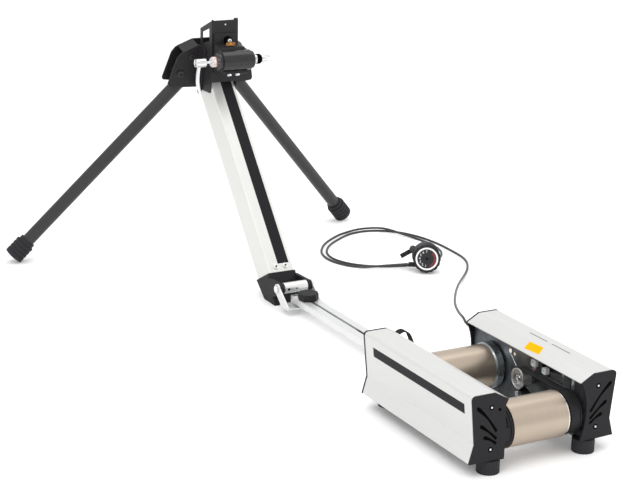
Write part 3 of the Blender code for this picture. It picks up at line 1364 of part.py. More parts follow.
def skewer():
    """The skewer rod and the slotted cam housing that its lever turns in."""
    tip = NUT_X + NUT_LENGTH - 2 * CHANNEL_SHEET
    body = rod("skewer", (CAM_OUTER_X, HUB_Y, HUB_Z), (CAM_INNER_X, HUB_Y, HUB_Z), CAM_RADIUS, sides=28)
    slot_end = CAM_PIVOT_X + LEVER_EYE + 2 * GAP
    slot = box("slot", (CAM_OUTER_X - CAM_RADIUS, slot_end),
               (HUB_Y - CAM_SLOT / 2, HUB_Y + CAM_SLOT / 2),
               (HUB_Z - 2 * CAM_RADIUS, HUB_Z + 2 * CAM_RADIUS))
    body = cut(body, slot)
    bar = rod("bar", (slot_end + GAP, HUB_Y, HUB_Z), (tip, HUB_Y, HUB_Z), SKEWER_RADIUS, sides=16)
    reach = (CAM_SLOT / 2 + CAM_RADIUS) / 2
    pin = rod("pin", (CAM_PIVOT_X, HUB_Y - reach, HUB_Z), (CAM_PIVOT_X, HUB_Y + reach, HUB_Z),
              CAM_PIN, sides=16)
    return join(body, bar, pin)


def quick_release_lever():
    """The curved lever, hanging down from its eye in the cam housing."""
    half = CAM_SLOT / 2 - GAP
    x, z = CAM_PIVOT_X, HUB_Z
    bore = circle((x, z), CAM_PIN + PLAY, 16)
    eye = plate_xz("quick_release_lever", [circle((x, z), LEVER_EYE, 28), bore],
                   (HUB_Y - half, HUB_Y + half))
    reach = LEVER_LENGTH
    line = [(x, z - LEVER_EYE * 0.6), (x - LEVER_BOW * 0.7, z - reach * 0.3),
            (x - LEVER_BOW, z - reach * 0.6), (x - LEVER_BOW * 0.6, z - reach * 0.85),
            (x, z - reach)]
    line = smooth(line, 3)
    widths = [LEVER_THICKNESS * (1 + 0.35 * i / len(line)) for i in range(len(line))]
    inner = half - GAP
    arm = plate_xz("arm", [slit(line, widths)], (HUB_Y - inner, HUB_Y + inner))
    return join(eye, arm)


def skewer_nut():
    """The tapered nut at the skewer's right end."""
    bore = SKEWER_RADIUS + PLAY
    rim = NUT_LENGTH / 3
    profile = [(NUT_TIP_RADIUS, NUT_LENGTH), (NUT_RADIUS, rim), (NUT_RADIUS, 0.0), (bore, 0.0),
               (bore, NUT_LENGTH)]
    return turned("skewer_nut", profile, (NUT_X, HUB_Y, HUB_Z), (1, 0, 0), 20, closed=True)


# Legs and their bracket
PLANE_OUT = Vector((0, math.cos(LEG_PLANE_LEAN), math.sin(LEG_PLANE_LEAN)))
PLANE_UP = Vector((0, -math.sin(LEG_PLANE_LEAN), math.cos(LEG_PLANE_LEAN)))
PLANE_CENTRE = Vector((0, LEG_Y, LEG_Z))
WING = ((0.0360, 0.0918), (0.0659, 0.0790), (0.0708, 0.0757), (0.0776, 0.0665),
        (0.0912, 0.0127), (0.0889, 0.0078), (0.0587, 0.0031))
WING_INNER = CHANNEL_OUTER + GAP
WING_FOOT = 0.0018
PLATE_OUT = BRACKET_HALF_ROOM + BRACKET_SHEET


def leg_direction(side):
    """The way a leg runs, down and outward."""
    return side * math.sin(LEG_SPREAD) * Vector((1, 0, 0)) - math.cos(LEG_SPREAD) * PLANE_UP


def leg_point(side, along):
    """A point on a leg's axis, measured down the leg from the height LEG_Z."""
    return PLANE_CENTRE + Vector((side * LEG_X, 0, 0)) + leg_direction(side) * along


def plane_plate(name, outlines, near, far):
    """A plate parallel to the legs, between two distances forward of their plane."""
    place = axes(PLANE_CENTRE + PLANE_OUT * (near + far) / 2, (1, 0, 0), PLANE_UP)
    return plate(name, outlines, far - near, place)


def plane_rod(name, point, near, far, radius, sides=16):
    """A bar square to the legs' plane."""
    return rod(name, point + PLANE_OUT * near, point + PLANE_OUT * far, radius, sides=sides)


def leg_bracket():
    """The folded bracket: a front plate, two rear wings, tops, tabs, pivots and stops."""
    wing = list(WING)
    front_line = wing + outward(-1, wing)[::-1]
    bracket = plane_plate("leg_bracket", [front_line], BRACKET_HALF_ROOM, PLATE_OUT)
    pieces = []
    top_a, top_b = Vector(WING[0]), Vector(WING[1])
    inward = Vector((top_b.y - top_a.y, top_a.x - top_b.x)).normalized() * BRACKET_SHEET
    sunk = inward * (GAP / BRACKET_SHEET)
    top_line = [tuple(top_a + sunk), tuple(top_b + sunk), tuple(top_b + inward), tuple(top_a + inward)]
    middle = BRACKET_HALF_ROOM + BRACKET_SHEET / 2
    for side in (-1, 1):
        edge_x = WING_INNER + GAP
        rear_line = outward(side, [(edge_x, WING[0][1])] + wing + [(edge_x, WING_FOOT)])
        pieces.append(plane_plate("wing", [rear_line], -PLATE_OUT, -BRACKET_HALF_ROOM))
        pieces.append(plane_plate("top", [outward(side, top_line)], -middle, middle))
        low, high = WING_FOOT + GAP, WING[0][1] - GAP
        tab_line = [(WING_INNER, low), (WING_INNER + BRACKET_SHEET, low),
                    (WING_INNER + BRACKET_SHEET, high), (WING_INNER, high)]
        pieces.append(plane_plate("tab", [outward(side, tab_line)], -PLATE_OUT - TAB_LENGTH, -middle))
        pivot = leg_point(side, -LEG_PIVOT)
        pieces.append(plane_rod("pivot", pivot, -middle, middle, LEG_PIN_RADIUS))
        shift = side * math.cos(LEG_SPREAD) * Vector((1, 0, 0)) + math.sin(LEG_SPREAD) * PLANE_UP
        stop_away = LEG_RADIUS + STOP_RADIUS + 2 * GAP
        stop = pivot + leg_direction(side) * STOP_DOWN + shift * stop_away
        pieces.append(plane_rod("stop", stop, -middle, middle, STOP_RADIUS))
    return join(bracket, *pieces)


def leg_end():
    """How far down its axis a leg's cap ends, with its rim just on the floor."""
    fall = -leg_direction(1).z
    rim_rise = CAP_RADIUS * math.sqrt(1 - fall ** 2)
    return (LEG_Z - rim_rise) / fall


def leg(name, side):
    """A steel tube with a cross bore for its pivot."""
    start = -LEG_TOP
    end = leg_end() - CAP_FLOOR - GAP
    tube = ring(name, LEG_RADIUS - LEG_WALL, LEG_RADIUS, leg_point(side, start),
                leg_direction(side), end - start, 24)
    pivot = leg_point(side, -LEG_PIVOT)
    return cut(tube, plane_rod("bore", pivot, -2 * LEG_RADIUS, 2 * LEG_RADIUS, LEG_PIN_RADIUS + PLAY))


def leg_cap(name, side):
    """A ribbed rubber cap with a socket for the tube."""
    bore = LEG_RADIUS + GAP
    pitch = (CAP_LENGTH * 0.6) / CAP_RIBS
    collar = (bore + CAP_RADIUS) / 2
    profile = [(0.0, CAP_FLOOR), (bore, CAP_FLOOR), (bore, CAP_LENGTH),
               (collar, CAP_LENGTH), (collar, CAP_LENGTH - pitch)]
    groove = CAP_RADIUS - CAP_RIB_DEPTH
    along = CAP_LENGTH - pitch
    for _ in range(CAP_RIBS):
        profile += [(CAP_RADIUS, along), (CAP_RADIUS, along - pitch * 0.6),
                    (groove, along - pitch * 0.6), (groove, along - pitch)]
        along -= pitch
    profile += [(CAP_RADIUS, along), (CAP_RADIUS, 0.0), (0.0, 0.0)]
    return turned(name, profile, leg_point(side, leg_end()), -leg_direction(side), 24)


# Remote control
DIAL_OUT = Vector((-math.cos(REMOTE_YAW) * math.cos(REMOTE_TILT),
                   -math.sin(REMOTE_YAW) * math.cos(REMOTE_TILT), math.sin(REMOTE_TILT)))
REMOTE_RIGHT = Vector((math.sin(REMOTE_YAW), -math.cos(REMOTE_YAW), 0))
REMOTE_UP = DIAL_OUT.cross(REMOTE_RIGHT)
DIAL_CENTRE = Vector((REMOTE_X, REMOTE_Y, DIAL_RADIUS * math.cos(REMOTE_TILT)))
SPOUT_DEPTH = -0.009    # behind the dial's back
SPOUT_DROP = -0.012     # below the dial's centre
SPOUT_END = -0.036      # to the left of the dial's centre


def remote_point(across, rise, out):
    """A point in the remote's own directions, from the middle of the dial's back."""
    return DIAL_CENTRE + REMOTE_RIGHT * across + REMOTE_UP * rise + DIAL_OUT * out


def remote_plate(name, outlines, near, far):
    """A plate square to the dial's axis, between two distances along it."""
    place = axes(remote_point(0, 0, (near + far) / 2), REMOTE_RIGHT, REMOTE_UP)
    return plate(name, outlines, far - near, place)


def remote_dial():
    """The dial: grips round its edge, a raised ring and a sunk face."""
    rim = DIAL_DEPTH - DIAL_RING_RISE
    grip = scalloped(DIAL_RADIUS, DIAL_GRIP_DEPTH, DIAL_GRIPS, steps=4)
    shoulder = DIAL_RADIUS - DIAL_SHOULDER
    body = remote_plate("remote_dial", [grip], 0.0, rim * 0.8)
    face = DIAL_DEPTH - DIAL_FACE_RECESS
    front = [(0.0, face), (DIAL_FACE_RADIUS, face), (DIAL_FACE_RADIUS, DIAL_DEPTH),
             (DIAL_RING_RADIUS, DIAL_DEPTH), (DIAL_RING_RADIUS, rim),
             (shoulder, rim * 0.8), (shoulder, rim * 0.7), (0.0, rim * 0.7)]
    body = join(body, turned("front", front, remote_point(0, 0, 0), DIAL_OUT, 28))
    bore = rod("bore", remote_point(0, 0, -GAP), remote_point(0, 0, SPINDLE_LENGTH + PLAY),
               DIAL_SPINDLE + PLAY, sides=20)
    return cut(body, bore)


def remote_body():
    """The tapered housing behind the dial, its spindle and its cable spout."""
    back = GAP + HOUSING_DEPTH
    profile = [(0.0, SPINDLE_LENGTH), (DIAL_SPINDLE, SPINDLE_LENGTH), (DIAL_SPINDLE, -GAP),
               (HOUSING_FRONT_RADIUS, -GAP), (HOUSING_BACK_RADIUS, -back), (0.0, -back)]
    body = turned("remote_body", profile, remote_point(0, 0, 0), DIAL_OUT, 28)
    spout = rod("spout", remote_point(SPOUT_END, SPOUT_DROP, SPOUT_DEPTH),
                remote_point(SPOUT_END + SPOUT_LENGTH, SPOUT_DROP, SPOUT_DEPTH),
                SPOUT_RADIUS, sides=20)
    return join(body, spout)


def remote_clamp():
    """The arm behind the housing that fixes it to a handlebar."""
    near = -2 * GAP - HOUSING_DEPTH
    line = [(HOUSING_BACK_RADIUS / 2, -GAP)] + list(CLAMP_BENDS)
    widths = [CLAMP_ROOT, CLAMP_ROOT] + [CLAMP_THICKNESS] * (len(line) - 2)
    return remote_plate("remote_clamp", [slit(line, widths)], near - CLAMP_WIDTH, near)


# Cable
FLOOR_Z = CABLE_RADIUS
CABLE_RUN = (
    (0.0857, 0.3427, 0.1020), (0.0965, 0.3668, 0.0980), (0.1106, 0.3945, 0.0925),
    (0.1301, 0.4292, 0.0850), (0.1504, 0.4630, 0.0770), (0.1734, 0.4992, 0.0680),
    (0.1992, 0.5380, 0.0580), (0.2291, 0.5819, 0.0470), (0.2616, 0.6286, 0.0360),
    (0.2903, 0.6681, 0.0270), (0.3187, 0.7058, 0.0190), (0.3449, 0.7390, 0.0120),
    (0.3704, 0.7698, 0.0060), (0.3908, 0.7931, 0.0030), (0.4110, 0.8160, FLOOR_Z),
    (0.4290, 0.8400, FLOOR_Z), (0.4446, 0.8677, FLOOR_Z), (0.4550, 0.9010, FLOOR_Z),
    (0.4592, 0.9500, FLOOR_Z), (0.4600, 1.0023, FLOOR_Z),
)
CABLE_LOOPS = (
    (0.4520, 1.0560, FLOOR_Z), (0.4326, 1.1020, FLOOR_Z), (0.4060, 1.1300, FLOOR_Z),
    (0.3700, 1.1440, FLOOR_Z), (0.3280, 1.1380, FLOOR_Z), (0.2840, 1.1120, FLOOR_Z),
    (0.2460, 1.0800, FLOOR_Z), (0.2180, 1.0390, FLOOR_Z), (0.2100, 0.9960, FLOOR_Z),
    (0.2230, 0.9560, FLOOR_Z), (0.2500, 0.9260, FLOOR_Z), (0.2880, 0.9060, FLOOR_Z),
    (0.3320, 0.8960, FLOOR_Z), (0.3780, 0.8990, FLOOR_Z), (0.4150, 0.9190, FLOOR_Z),
    (0.4370, 0.9520, FLOOR_Z), (0.4450, 0.9950, FLOOR_Z), (0.4410, 1.0400, FLOOR_Z),
    (0.4270, 1.0850, 0.0042), (0.4040, 1.1270, 0.0086), (0.3660, 1.1540, 0.0052),
    (0.3210, 1.1500, FLOOR_Z), (0.2770, 1.1240, FLOOR_Z), (0.2380, 1.0890, FLOOR_Z),
    (0.2080, 1.0430, FLOOR_Z), (0.1990, 0.9940, FLOOR_Z), (0.2120, 0.9500, FLOOR_Z),
    (0.2380, 0.9190, 0.0035), (0.2680, 0.9000, 0.0075),
)


def cable_route():
    """The cable's middle line from the gland to the remote's spout."""
    start = Vector((GLAND_X, UNIT_LENGTH + GAP + GLAND_LENGTH + GAP, GLAND_Z))
    first = start + Vector((0, 2.5 * CABLE_RADIUS, 0))
    end = remote_point(SPOUT_END - GAP, SPOUT_DROP, SPOUT_DEPTH)
    last = end - REMOTE_RIGHT * 2.5 * CABLE_RADIUS
    chosen = [first] + [Vector(p) for p in CABLE_RUN + CABLE_LOOPS] + [last]
    route = [start] + smooth(chosen, 2) + [end]
    for point in route:
        point.z = max(point.z, FLOOR_Z)
    return route


def least_gap(route, skip=8):
    """The smallest clear distance between stretches of the cable that only pass each other."""
    least = 1.0
    for i, point in enumerate(route):
        for other in route[i + skip:]:
            least = min(least, (point - other).length - 2 * CABLE_RADIUS)
    return least


def remote_cable():
    """The cable's stiff casing, laid in two loops on the floor."""
    route = cable_route()
    curve = bpy.data.curves.new("remote_cable", "CURVE")
    curve.dimensions = "3D"
    curve.bevel_depth = CABLE_RADIUS
    curve.bevel_resolution = 1
    curve.use_fill_caps = True
    spline = curve.splines.new("POLY")
    spline.points.add(len(route) - 1)
    for point, place in zip(spline.points, route):
        point.co = (*place, 1.0)
    length = sum((b - a).length for a, b in zip(route, route[1:]))
    print(f"cable: {length:.3f} m, {len(route)} points, least gap {least_gap(route) * 1000:.1f} mm")
    return baked(add_object("remote_cable", curve))


def cable_gland():
    """The gland on the right front end plate that the cable comes out of."""
    flange = GLAND_LENGTH / 5
    profile = [(GLAND_TIP_RADIUS, GLAND_LENGTH), (GLAND_RADIUS - 4 * GAP, flange),
               (GLAND_RADIUS + 4 * GAP, flange), (GLAND_RADIUS + 4 * GAP, 0.0), (0.0, 0.0)]
    profile = [(0.0, GLAND_LENGTH)] + profile
    return turned("cable_gland", profile, (GLAND_X, UNIT_LENGTH + GAP, GLAND_Z), (0, 1, 0), 20)


# The whole trainer
def make_rail():
    """The fixed rail, and what slides out of its end."""
    slide = holder("rail_slide", (0, RAIL_END, PIN_Z), ROOT)
    knob_axis = holder("knob_axis", (0, KNOB_Y, RAIL_TOP), ROOT)
    carry(rail(), ROOT, "aluminium")
    carry(rail_mount(), ROOT, "black_metal")
    carry(strap(), ROOT, "webbing")
    carry(clamp_knob(), knob_axis, "black_plastic")
    x = (-TONGUE_HALF, TONGUE_HALF)
    tongue = box("tongue", x, (RAIL_END - TONGUE_INSIDE, TONGUE_FRONT), (TONGUE_BOTTOM, TONGUE_TOP))
    carry(tongue, slide, "zinc")
    carry(hinge_bracket(), slide, "aluminium")
    carry(hinge_pin(), slide, "steel")
    carry(hinge_barrel(), slide, "steel")
    return slide


def make_fork_stand(slide):
    """The mast that folds about the pin, with the head, the hub and the legs."""
    fold = holder("mast_fold", (0, PIN_Y, PIN_Z), slide)
    carry(foot_block(), fold, "black_plastic")
    carry(mast(), fold, "aluminium")
    carry(head_channel(), fold, "black_metal")
    carry(hub_cradle(), fold, "black_metal")
    carry(hub_barrel(), fold, "black_metal")
    carry(hub_axle(), fold, "steel")
    carry(skewer(), fold, "steel")
    carry(leg_bracket(), fold, "black_metal")
    lever_axis = holder("lever_axis", (CAM_PIVOT_X, HUB_Y, HUB_Z), fold)
    carry(quick_release_lever(), lever_axis, "steel")
    nut_axis = holder("nut_axis", (NUT_X, HUB_Y, HUB_Z), fold)
    carry(skewer_nut(), nut_axis, "steel")
    for word, side in (("left", -1), ("right", 1)):
        pivot = holder(word + "_leg_pivot", leg_point(side, -LEG_PIVOT), fold)
        carry(leg(word + "_leg", side), pivot, "black_metal")
        carry(leg_cap(word + "_leg_cap", side), pivot, "rubber")


def make_remote():
    """The dial and its housing on the floor, and the cable from the roller unit."""
    turn = holder("dial_axis", DIAL_CENTRE, ROOT)
    carry(remote_body(), ROOT, "black_plastic")
    carry(remote_clamp(), ROOT, "black_plastic")
    carry(remote_dial(), turn, "black_plastic")
    carry(cable_gland(), ROOT, "black_plastic")
    carry(remote_cable(), ROOT, "rubber")


def centre_footprint():
    """Move the trainer so that its origin is under the middle of all but its cable."""
    bpy.context.view_layer.update()
    ends = []
    for obj in TRAINER.objects:
        if obj.type == "MESH" and not obj.name.startswith(("remote_cable", "cable_gland")):
            ends += [(obj.matrix_world @ vertex.co).y for vertex in obj.data.vertices]
    ROOT.location.y = -(min(ends) + max(ends)) / 2
    bpy.context.view_layer.update()


make_covers()
make_feet()
make_frame()
make_rollers()
make_drive()
make_fork_stand(make_rail())
make_remote()
centre_footprint()
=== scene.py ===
# %% [markdown]
# A fork mount roller trainer, dressed for its photograph.
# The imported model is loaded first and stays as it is: every solid is already in its place,
# in metres, with +Z up. This lesson gives each solid a finish made of nodes, and adds what is
# too small or too soft for the solids: the cable, the webbing, screws, stripes and dial marks.

# %% Load the frame
import json
import math
import bmesh
import bpy
from mathutils import Matrix, Vector
from mathutils.bvhtree import BVHTree

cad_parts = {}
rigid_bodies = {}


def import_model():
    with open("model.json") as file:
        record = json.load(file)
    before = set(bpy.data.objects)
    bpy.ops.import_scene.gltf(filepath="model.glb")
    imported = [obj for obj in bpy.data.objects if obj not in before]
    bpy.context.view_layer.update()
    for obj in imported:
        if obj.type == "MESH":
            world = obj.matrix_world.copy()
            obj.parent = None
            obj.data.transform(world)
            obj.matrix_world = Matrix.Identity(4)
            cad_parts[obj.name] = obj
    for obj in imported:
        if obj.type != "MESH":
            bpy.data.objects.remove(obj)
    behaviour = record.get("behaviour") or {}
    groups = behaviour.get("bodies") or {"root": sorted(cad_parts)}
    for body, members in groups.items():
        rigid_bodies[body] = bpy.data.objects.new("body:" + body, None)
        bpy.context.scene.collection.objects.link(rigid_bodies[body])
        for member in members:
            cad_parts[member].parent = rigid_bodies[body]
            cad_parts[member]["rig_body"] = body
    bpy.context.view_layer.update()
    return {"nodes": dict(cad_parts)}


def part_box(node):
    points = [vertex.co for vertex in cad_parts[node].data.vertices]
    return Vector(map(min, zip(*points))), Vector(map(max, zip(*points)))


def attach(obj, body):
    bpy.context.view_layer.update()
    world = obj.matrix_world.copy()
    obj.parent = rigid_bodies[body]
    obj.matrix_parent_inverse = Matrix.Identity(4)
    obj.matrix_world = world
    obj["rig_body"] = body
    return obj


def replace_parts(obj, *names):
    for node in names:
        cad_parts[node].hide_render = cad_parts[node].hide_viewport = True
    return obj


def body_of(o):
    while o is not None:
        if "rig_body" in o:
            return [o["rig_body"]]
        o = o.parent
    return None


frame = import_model()
rear_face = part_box("left_rear_end_plate")[0][1]

# %% [markdown]
# Measurements of this trainer are easiest to read from the rear face of the roller unit,
# so one small helper turns them into the frame's own numbers. Two more helpers put new data
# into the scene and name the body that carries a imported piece.


# %% Small helpers
def from_rear(x, y, z):
    """A point given from the roller unit's rear face, in the frame."""
    return Vector((x, y + rear_face, z))


def in_scene(name, data):
    """A new object with this data, linked to the scene."""
    made = bpy.data.objects.new(name, data)
    bpy.context.scene.collection.objects.link(made)
    return made


def carrier(node):
    """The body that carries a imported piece."""
    return body_of(frame["nodes"][node])[0]


print("middle of the rear face:", [round(v, 3) for v in from_rear(0, 0, 0)])

# %% [markdown]
# The camera stands where the photographer stood: to the left of the roller unit's rear end,
# about a metre up, with a long lens. Its place and turn were found by fitting the straight
# edges of the covers, the rail, the mast and the legs.


# %% Camera
def camera_turn(yaw, pitch, roll):
    """The camera's rotation from its heading, its dip and its lean."""
    ahead = Vector((math.sin(yaw) * math.cos(pitch), math.cos(yaw) * math.cos(pitch), -math.sin(pitch)))
    level = Vector((math.cos(yaw), -math.sin(yaw), 0))
    above = level.cross(ahead)
    right = math.cos(roll) * level + math.sin(roll) * above
    up = math.cos(roll) * above - math.sin(roll) * level
    return Matrix((right, up, -ahead)).transposed().to_euler()


camera_place = from_rear(-1.3287, -1.7336, 0.9678)
camera_heading, camera_dip, camera_lean = 0.4988, 0.2876, 0.0195    # in radians
lens = bpy.data.cameras.new("camera")
lens.sensor_width = 36.0    # in millimetres, as the focal length is
lens.lens = 94.03
camera = in_scene("camera", lens)
camera.location = camera_place
camera.rotation_euler = camera_turn(camera_heading, camera_dip, camera_lean)
bpy.context.scene.camera = camera
print("camera at", [round(v, 3) for v in camera.location])

# %% [markdown]
# The cable is a brake casing: a stiff spiral tube with a smooth grey jacket, 4.5 mm across.
# It leaves the gland on the roller unit, reaches the floor in one long slope, lies there in two
# loops and ends in the spout of the remote. A curve with a round bevel keeps one thickness all
# along a route of points; it is then kept as a mesh, whose size can be measured exactly.

# %% Route of the cable
cable_radius = 0.00225
floor_rest = cable_radius
cable_start = (0.0782, 0.3186, 0.1010)
cable_points = (
    (0.0782, 0.3242, 0.1010), (0.0857, 0.3427, 0.1020), (0.0965, 0.3668, 0.0980),
    (0.1106, 0.3945, 0.0925), (0.1301, 0.4292, 0.0850), (0.1504, 0.4630, 0.0770),
    (0.1734, 0.4992, 0.0680), (0.1992, 0.5380, 0.0580), (0.2291, 0.5819, 0.0470),
    (0.2616, 0.6286, 0.0360), (0.2903, 0.6681, 0.0270), (0.3187, 0.7058, 0.0190),
    (0.3449, 0.7390, 0.0120), (0.3704, 0.7698, 0.0060), (0.3908, 0.7931, 0.0030),
    (0.4110, 0.8160), (0.4290, 0.8400), (0.4446, 0.8677), (0.4550, 0.9010), (0.4592, 0.9500),
    (0.4600, 1.0023), (0.4520, 1.0560), (0.4326, 1.1020), (0.4060, 1.1300), (0.3700, 1.1440),
    (0.3280, 1.1380), (0.2840, 1.1120), (0.2460, 1.0800), (0.2180, 1.0390), (0.2100, 0.9960),
    (0.2230, 0.9560), (0.2500, 0.9260), (0.2880, 0.9060), (0.3320, 0.8960), (0.3780, 0.8990),
    (0.4150, 0.9190), (0.4370, 0.9520), (0.4450, 0.9950), (0.4410, 1.0400),
    (0.4270, 1.0850, 0.0042), (0.4040, 1.1270, 0.0086), (0.3660, 1.1540, 0.0052),
    (0.3210, 1.1500), (0.2770, 1.1240), (0.2380, 1.0890), (0.2080, 1.0430), (0.1990, 0.9940),
    (0.2120, 0.9500), (0.2380, 0.9190, 0.0035), (0.2680, 0.9000, 0.0075),
)    # a point of two numbers lies on the floor
print("cable:", len(cable_points) + 2, "chosen points")

# %% [markdown]
# The remote leans back a little and looks at the rider. Three directions, its own right, up
# and outward, place everything that is on it, so they come before the cable's last point.

# %% Directions of the remote
dial_centre = from_rear(0.3389, 0.8506, 0.02628)
dial_yaw = math.radians(57.177)
dial_tilt = math.radians(17.10)
dial_out = Vector((-math.cos(dial_yaw) * math.cos(dial_tilt),
                   -math.sin(dial_yaw) * math.cos(dial_tilt), math.sin(dial_tilt)))
dial_right = Vector((math.sin(dial_yaw), -math.cos(dial_yaw), 0))
dial_up = dial_out.cross(dial_right)


def on_remote(across, rise, out):
    """A point in the remote's own directions, from the middle of the dial's back."""
    return dial_centre + dial_right * across + dial_up * rise + dial_out * out


print("dial faces", [round(v, 3) for v in dial_out])

# %% [markdown]
# A route needs few chosen points if a smooth line is drawn through them. Each stretch bends by
# the points before and after it, so the line passes through every point without a corner.


# %% A smooth line
def rounded(points, steps):
    """A smooth line that passes through every chosen point, in so many steps between two."""
    line = []
    for i in range(len(points) - 1):
        before, here = points[max(i - 1, 0)], points[i]
        there, after = points[i + 1], points[min(i + 2, len(points) - 1)]
        for step in range(steps):
            t = step / steps
            line.append(0.5 * (2 * here + (there - before) * t
                               + (2 * before - 5 * here + 4 * there - after) * t ** 2
                               + (3 * here - before - 3 * there + after) * t ** 3))
    return line + [points[-1]]


print("halfway between 0 and 1:", rounded([Vector((0, 0)), Vector((1, 0))], 2)[1][0])

# %% [markdown]
# A curve with a round bevel makes a tube. A curve's own box is larger than what it shows, so the
# tube is kept as a mesh, and so are the numbers of the dial later on.


# %% A tube from a curve
def as_mesh(name, data):
    """A mesh object with a curve's or a text's evaluated form."""
    typed = in_scene("typed", data)
    mesh = bpy.data.meshes.new_from_object(typed.evaluated_get(bpy.context.evaluated_depsgraph_get()))
    bpy.data.objects.remove(typed)
    mesh.materials.clear()
    return in_scene(name, mesh)


def tube_along(name, points, radius):
    """A round tube along a line of points, bevelled from a curve and kept as a mesh."""
    curve = bpy.data.curves.new(name, "CURVE")
    curve.dimensions = "3D"
    curve.bevel_depth = radius
    curve.bevel_resolution = 6
    curve.use_fill_caps = True
    spline = curve.splines.new("POLY")
    spline.points.add(len(points) - 1)
    for knot, place in zip(spline.points, points):
        knot.co = (*place, 1.0)
    spline.use_smooth = True
    tube = as_mesh(name, curve)
    tube.data.shade_smooth()
    return tube


straight_end = 2.5 * cable_radius    # the cable runs straight this far before the remote's spout
print("straight for", round(1000 * straight_end, 1), "mm at the spout")

# %% [markdown]
# The last point lies inside the spout. No part of the route may sink below the floor, where the
# cable's middle rests at half its thickness.

# %% The cable
cable_steps = 4
cable_end = on_remote(-0.0363, -0.012, -0.009)
cable_last = cable_end - dial_right * straight_end
chosen = [from_rear(*(place + (floor_rest,))[:3]) for place in cable_points] + [cable_last]
cable_line = [from_rear(*cable_start)] + rounded(chosen, cable_steps) + [cable_end]
for place in cable_line:
    place.z = max(place.z, floor_rest)
cable = tube_along("cable", cable_line, cable_radius)
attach(cable, "base")
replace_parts(cable, "remote_cable")

# %% [markdown]
# A material is a small net of nodes. Two helpers keep the net readable: one sets a node's inputs
# by name, and one makes a node that compares or multiplies.


# %% Helpers for nodes
def tuned(node, **values):
    """A node with some inputs set by name, where an underscore stands for a space."""
    for word, value in values.items():
        node.inputs[word.replace("_", " ")].default_value = value
    return node


def maths(nodes, links, operation, first, second):
    """The outcome of one operation on an output and a number, or on two outputs."""
    node = nodes.new("ShaderNodeMath")
    node.operation = operation
    links.new(first, node.inputs[0])
    if isinstance(second, (int, float)):
        node.inputs[1].default_value = second
    else:
        links.new(second, node.inputs[1])
    return node.outputs["Value"]


white = (1, 1, 1, 1)
print("white:", white)

# %% [markdown]
# No real edge is quite sharp, and no real surface quite flat. A bevel node rounds the light at an
# edge without new faces, and a bump node adds a grain that is far too fine for geometry.


# %% Broken edges and relief
relief_strength, edge_samples = 0.6, 4


def surface_normal(nodes, links, noise, bump, edge):
    """The normal that a broken edge and a grain give, or nothing for a plain finish."""
    normal = None
    if edge:
        soft_edge = tuned(nodes.new("ShaderNodeBevel"), Radius=edge)
        soft_edge.samples = edge_samples
        normal = soft_edge.outputs["Normal"]
    if bump:
        relief = tuned(nodes.new("ShaderNodeBump"), Strength=relief_strength, Distance=bump)
        links.new(noise.outputs["Fac"], relief.inputs["Height"])
        if normal:
            links.new(normal, relief.inputs["Normal"])
        normal = relief.outputs["Normal"]
    return normal


print("relief strength", relief_strength)

# %% [markdown]
# Metals, paints and plastics differ in three things that a shader can show: how bright and
# coloured they are, how rough, and what small unevenness breaks up their reflections. One
# helper builds such a finish from noise in the object's own coordinates, so the same grain
# can be stretched along an extrusion or round a roller.


# %% A helper for finishes
noise_low, noise_high = 0.3, 0.7    # most of a noise's values lie between these
noise_detail, rough_spread, coat_roughness = 5.0, 0.12, 0.12


def finish(name, colour, roughness, metallic=0.0, uneven=0.08, scale=60.0, stretch=(1, 1, 1),
           bump=0.0, edge=0.0, coat=0.0, gloss=0.5):
    """A material whose colour, roughness and surface vary a little with stretched noise."""
    made = bpy.data.materials.new(name)
    made.use_nodes = True
    made.diffuse_color = (*colour, 1.0)
    nodes, links = made.node_tree.nodes, made.node_tree.links
    shader = tuned(nodes["Principled BSDF"], Metallic=metallic, Coat_Weight=coat,
                   Coat_Roughness=coat_roughness, Specular_IOR_Level=gloss)
    place = nodes.new("ShaderNodeTexCoord")
    mapping = tuned(nodes.new("ShaderNodeMapping"), Scale=stretch)
    links.new(place.outputs["Object"], mapping.inputs["Vector"])
    noise = tuned(nodes.new("ShaderNodeTexNoise"), Scale=scale, Detail=noise_detail)
    links.new(mapping.outputs["Vector"], noise.inputs["Vector"])
    ramp = nodes.new("ShaderNodeValToRGB")
    shades = (noise_low, 1 - uneven), (noise_high, 1 + uneven)
    for knot, (position, share) in zip(ramp.color_ramp.elements, shades):
        knot.position = position
        knot.color = (*[min(c * share, 1) for c in colour], 1)
    links.new(noise.outputs["Fac"], ramp.inputs["Fac"])
    links.new(ramp.outputs["Color"], shader.inputs["Base Color"])
    rough = tuned(nodes.new("ShaderNodeMapRange"), From_Min=noise_low, From_Max=noise_high,
                  To_Min=roughness * (1 - rough_spread), To_Max=min(roughness * (1 + rough_spread), 1.0))
    links.new(noise.outputs["Fac"], rough.inputs["Value"])
    links.new(rough.outputs["Result"], shader.inputs["Roughness"])
    normal = surface_normal(nodes, links, noise, bump, edge)
    if normal:
        links.new(normal, shader.inputs["Normal"])
    return made


print("colours may differ from the middle by", finish.__defaults__[1])

# %% [markdown]
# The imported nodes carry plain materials. Each is taken off, and the new one put in its place.


# %% Put a finish on
def wear(material, name, *places):
    """Puts one material on CAD nodes, in place of the plain ones."""
    for place in places:
        node = frame["nodes"][place]
        node.data.materials.clear()
        node.data.materials.append(material)
    print(name, "on", ", ".join(places))


print("nodes to dress:", len(frame["nodes"]))

# %% [markdown]
# The covers, the mast and the rail are aluminium extrusions. An extrusion carries fine lines
# along its length from the die, and a satin anodised skin that looks nearly white under soft
# light. The noise is stretched 60 times along the length to give those lines.

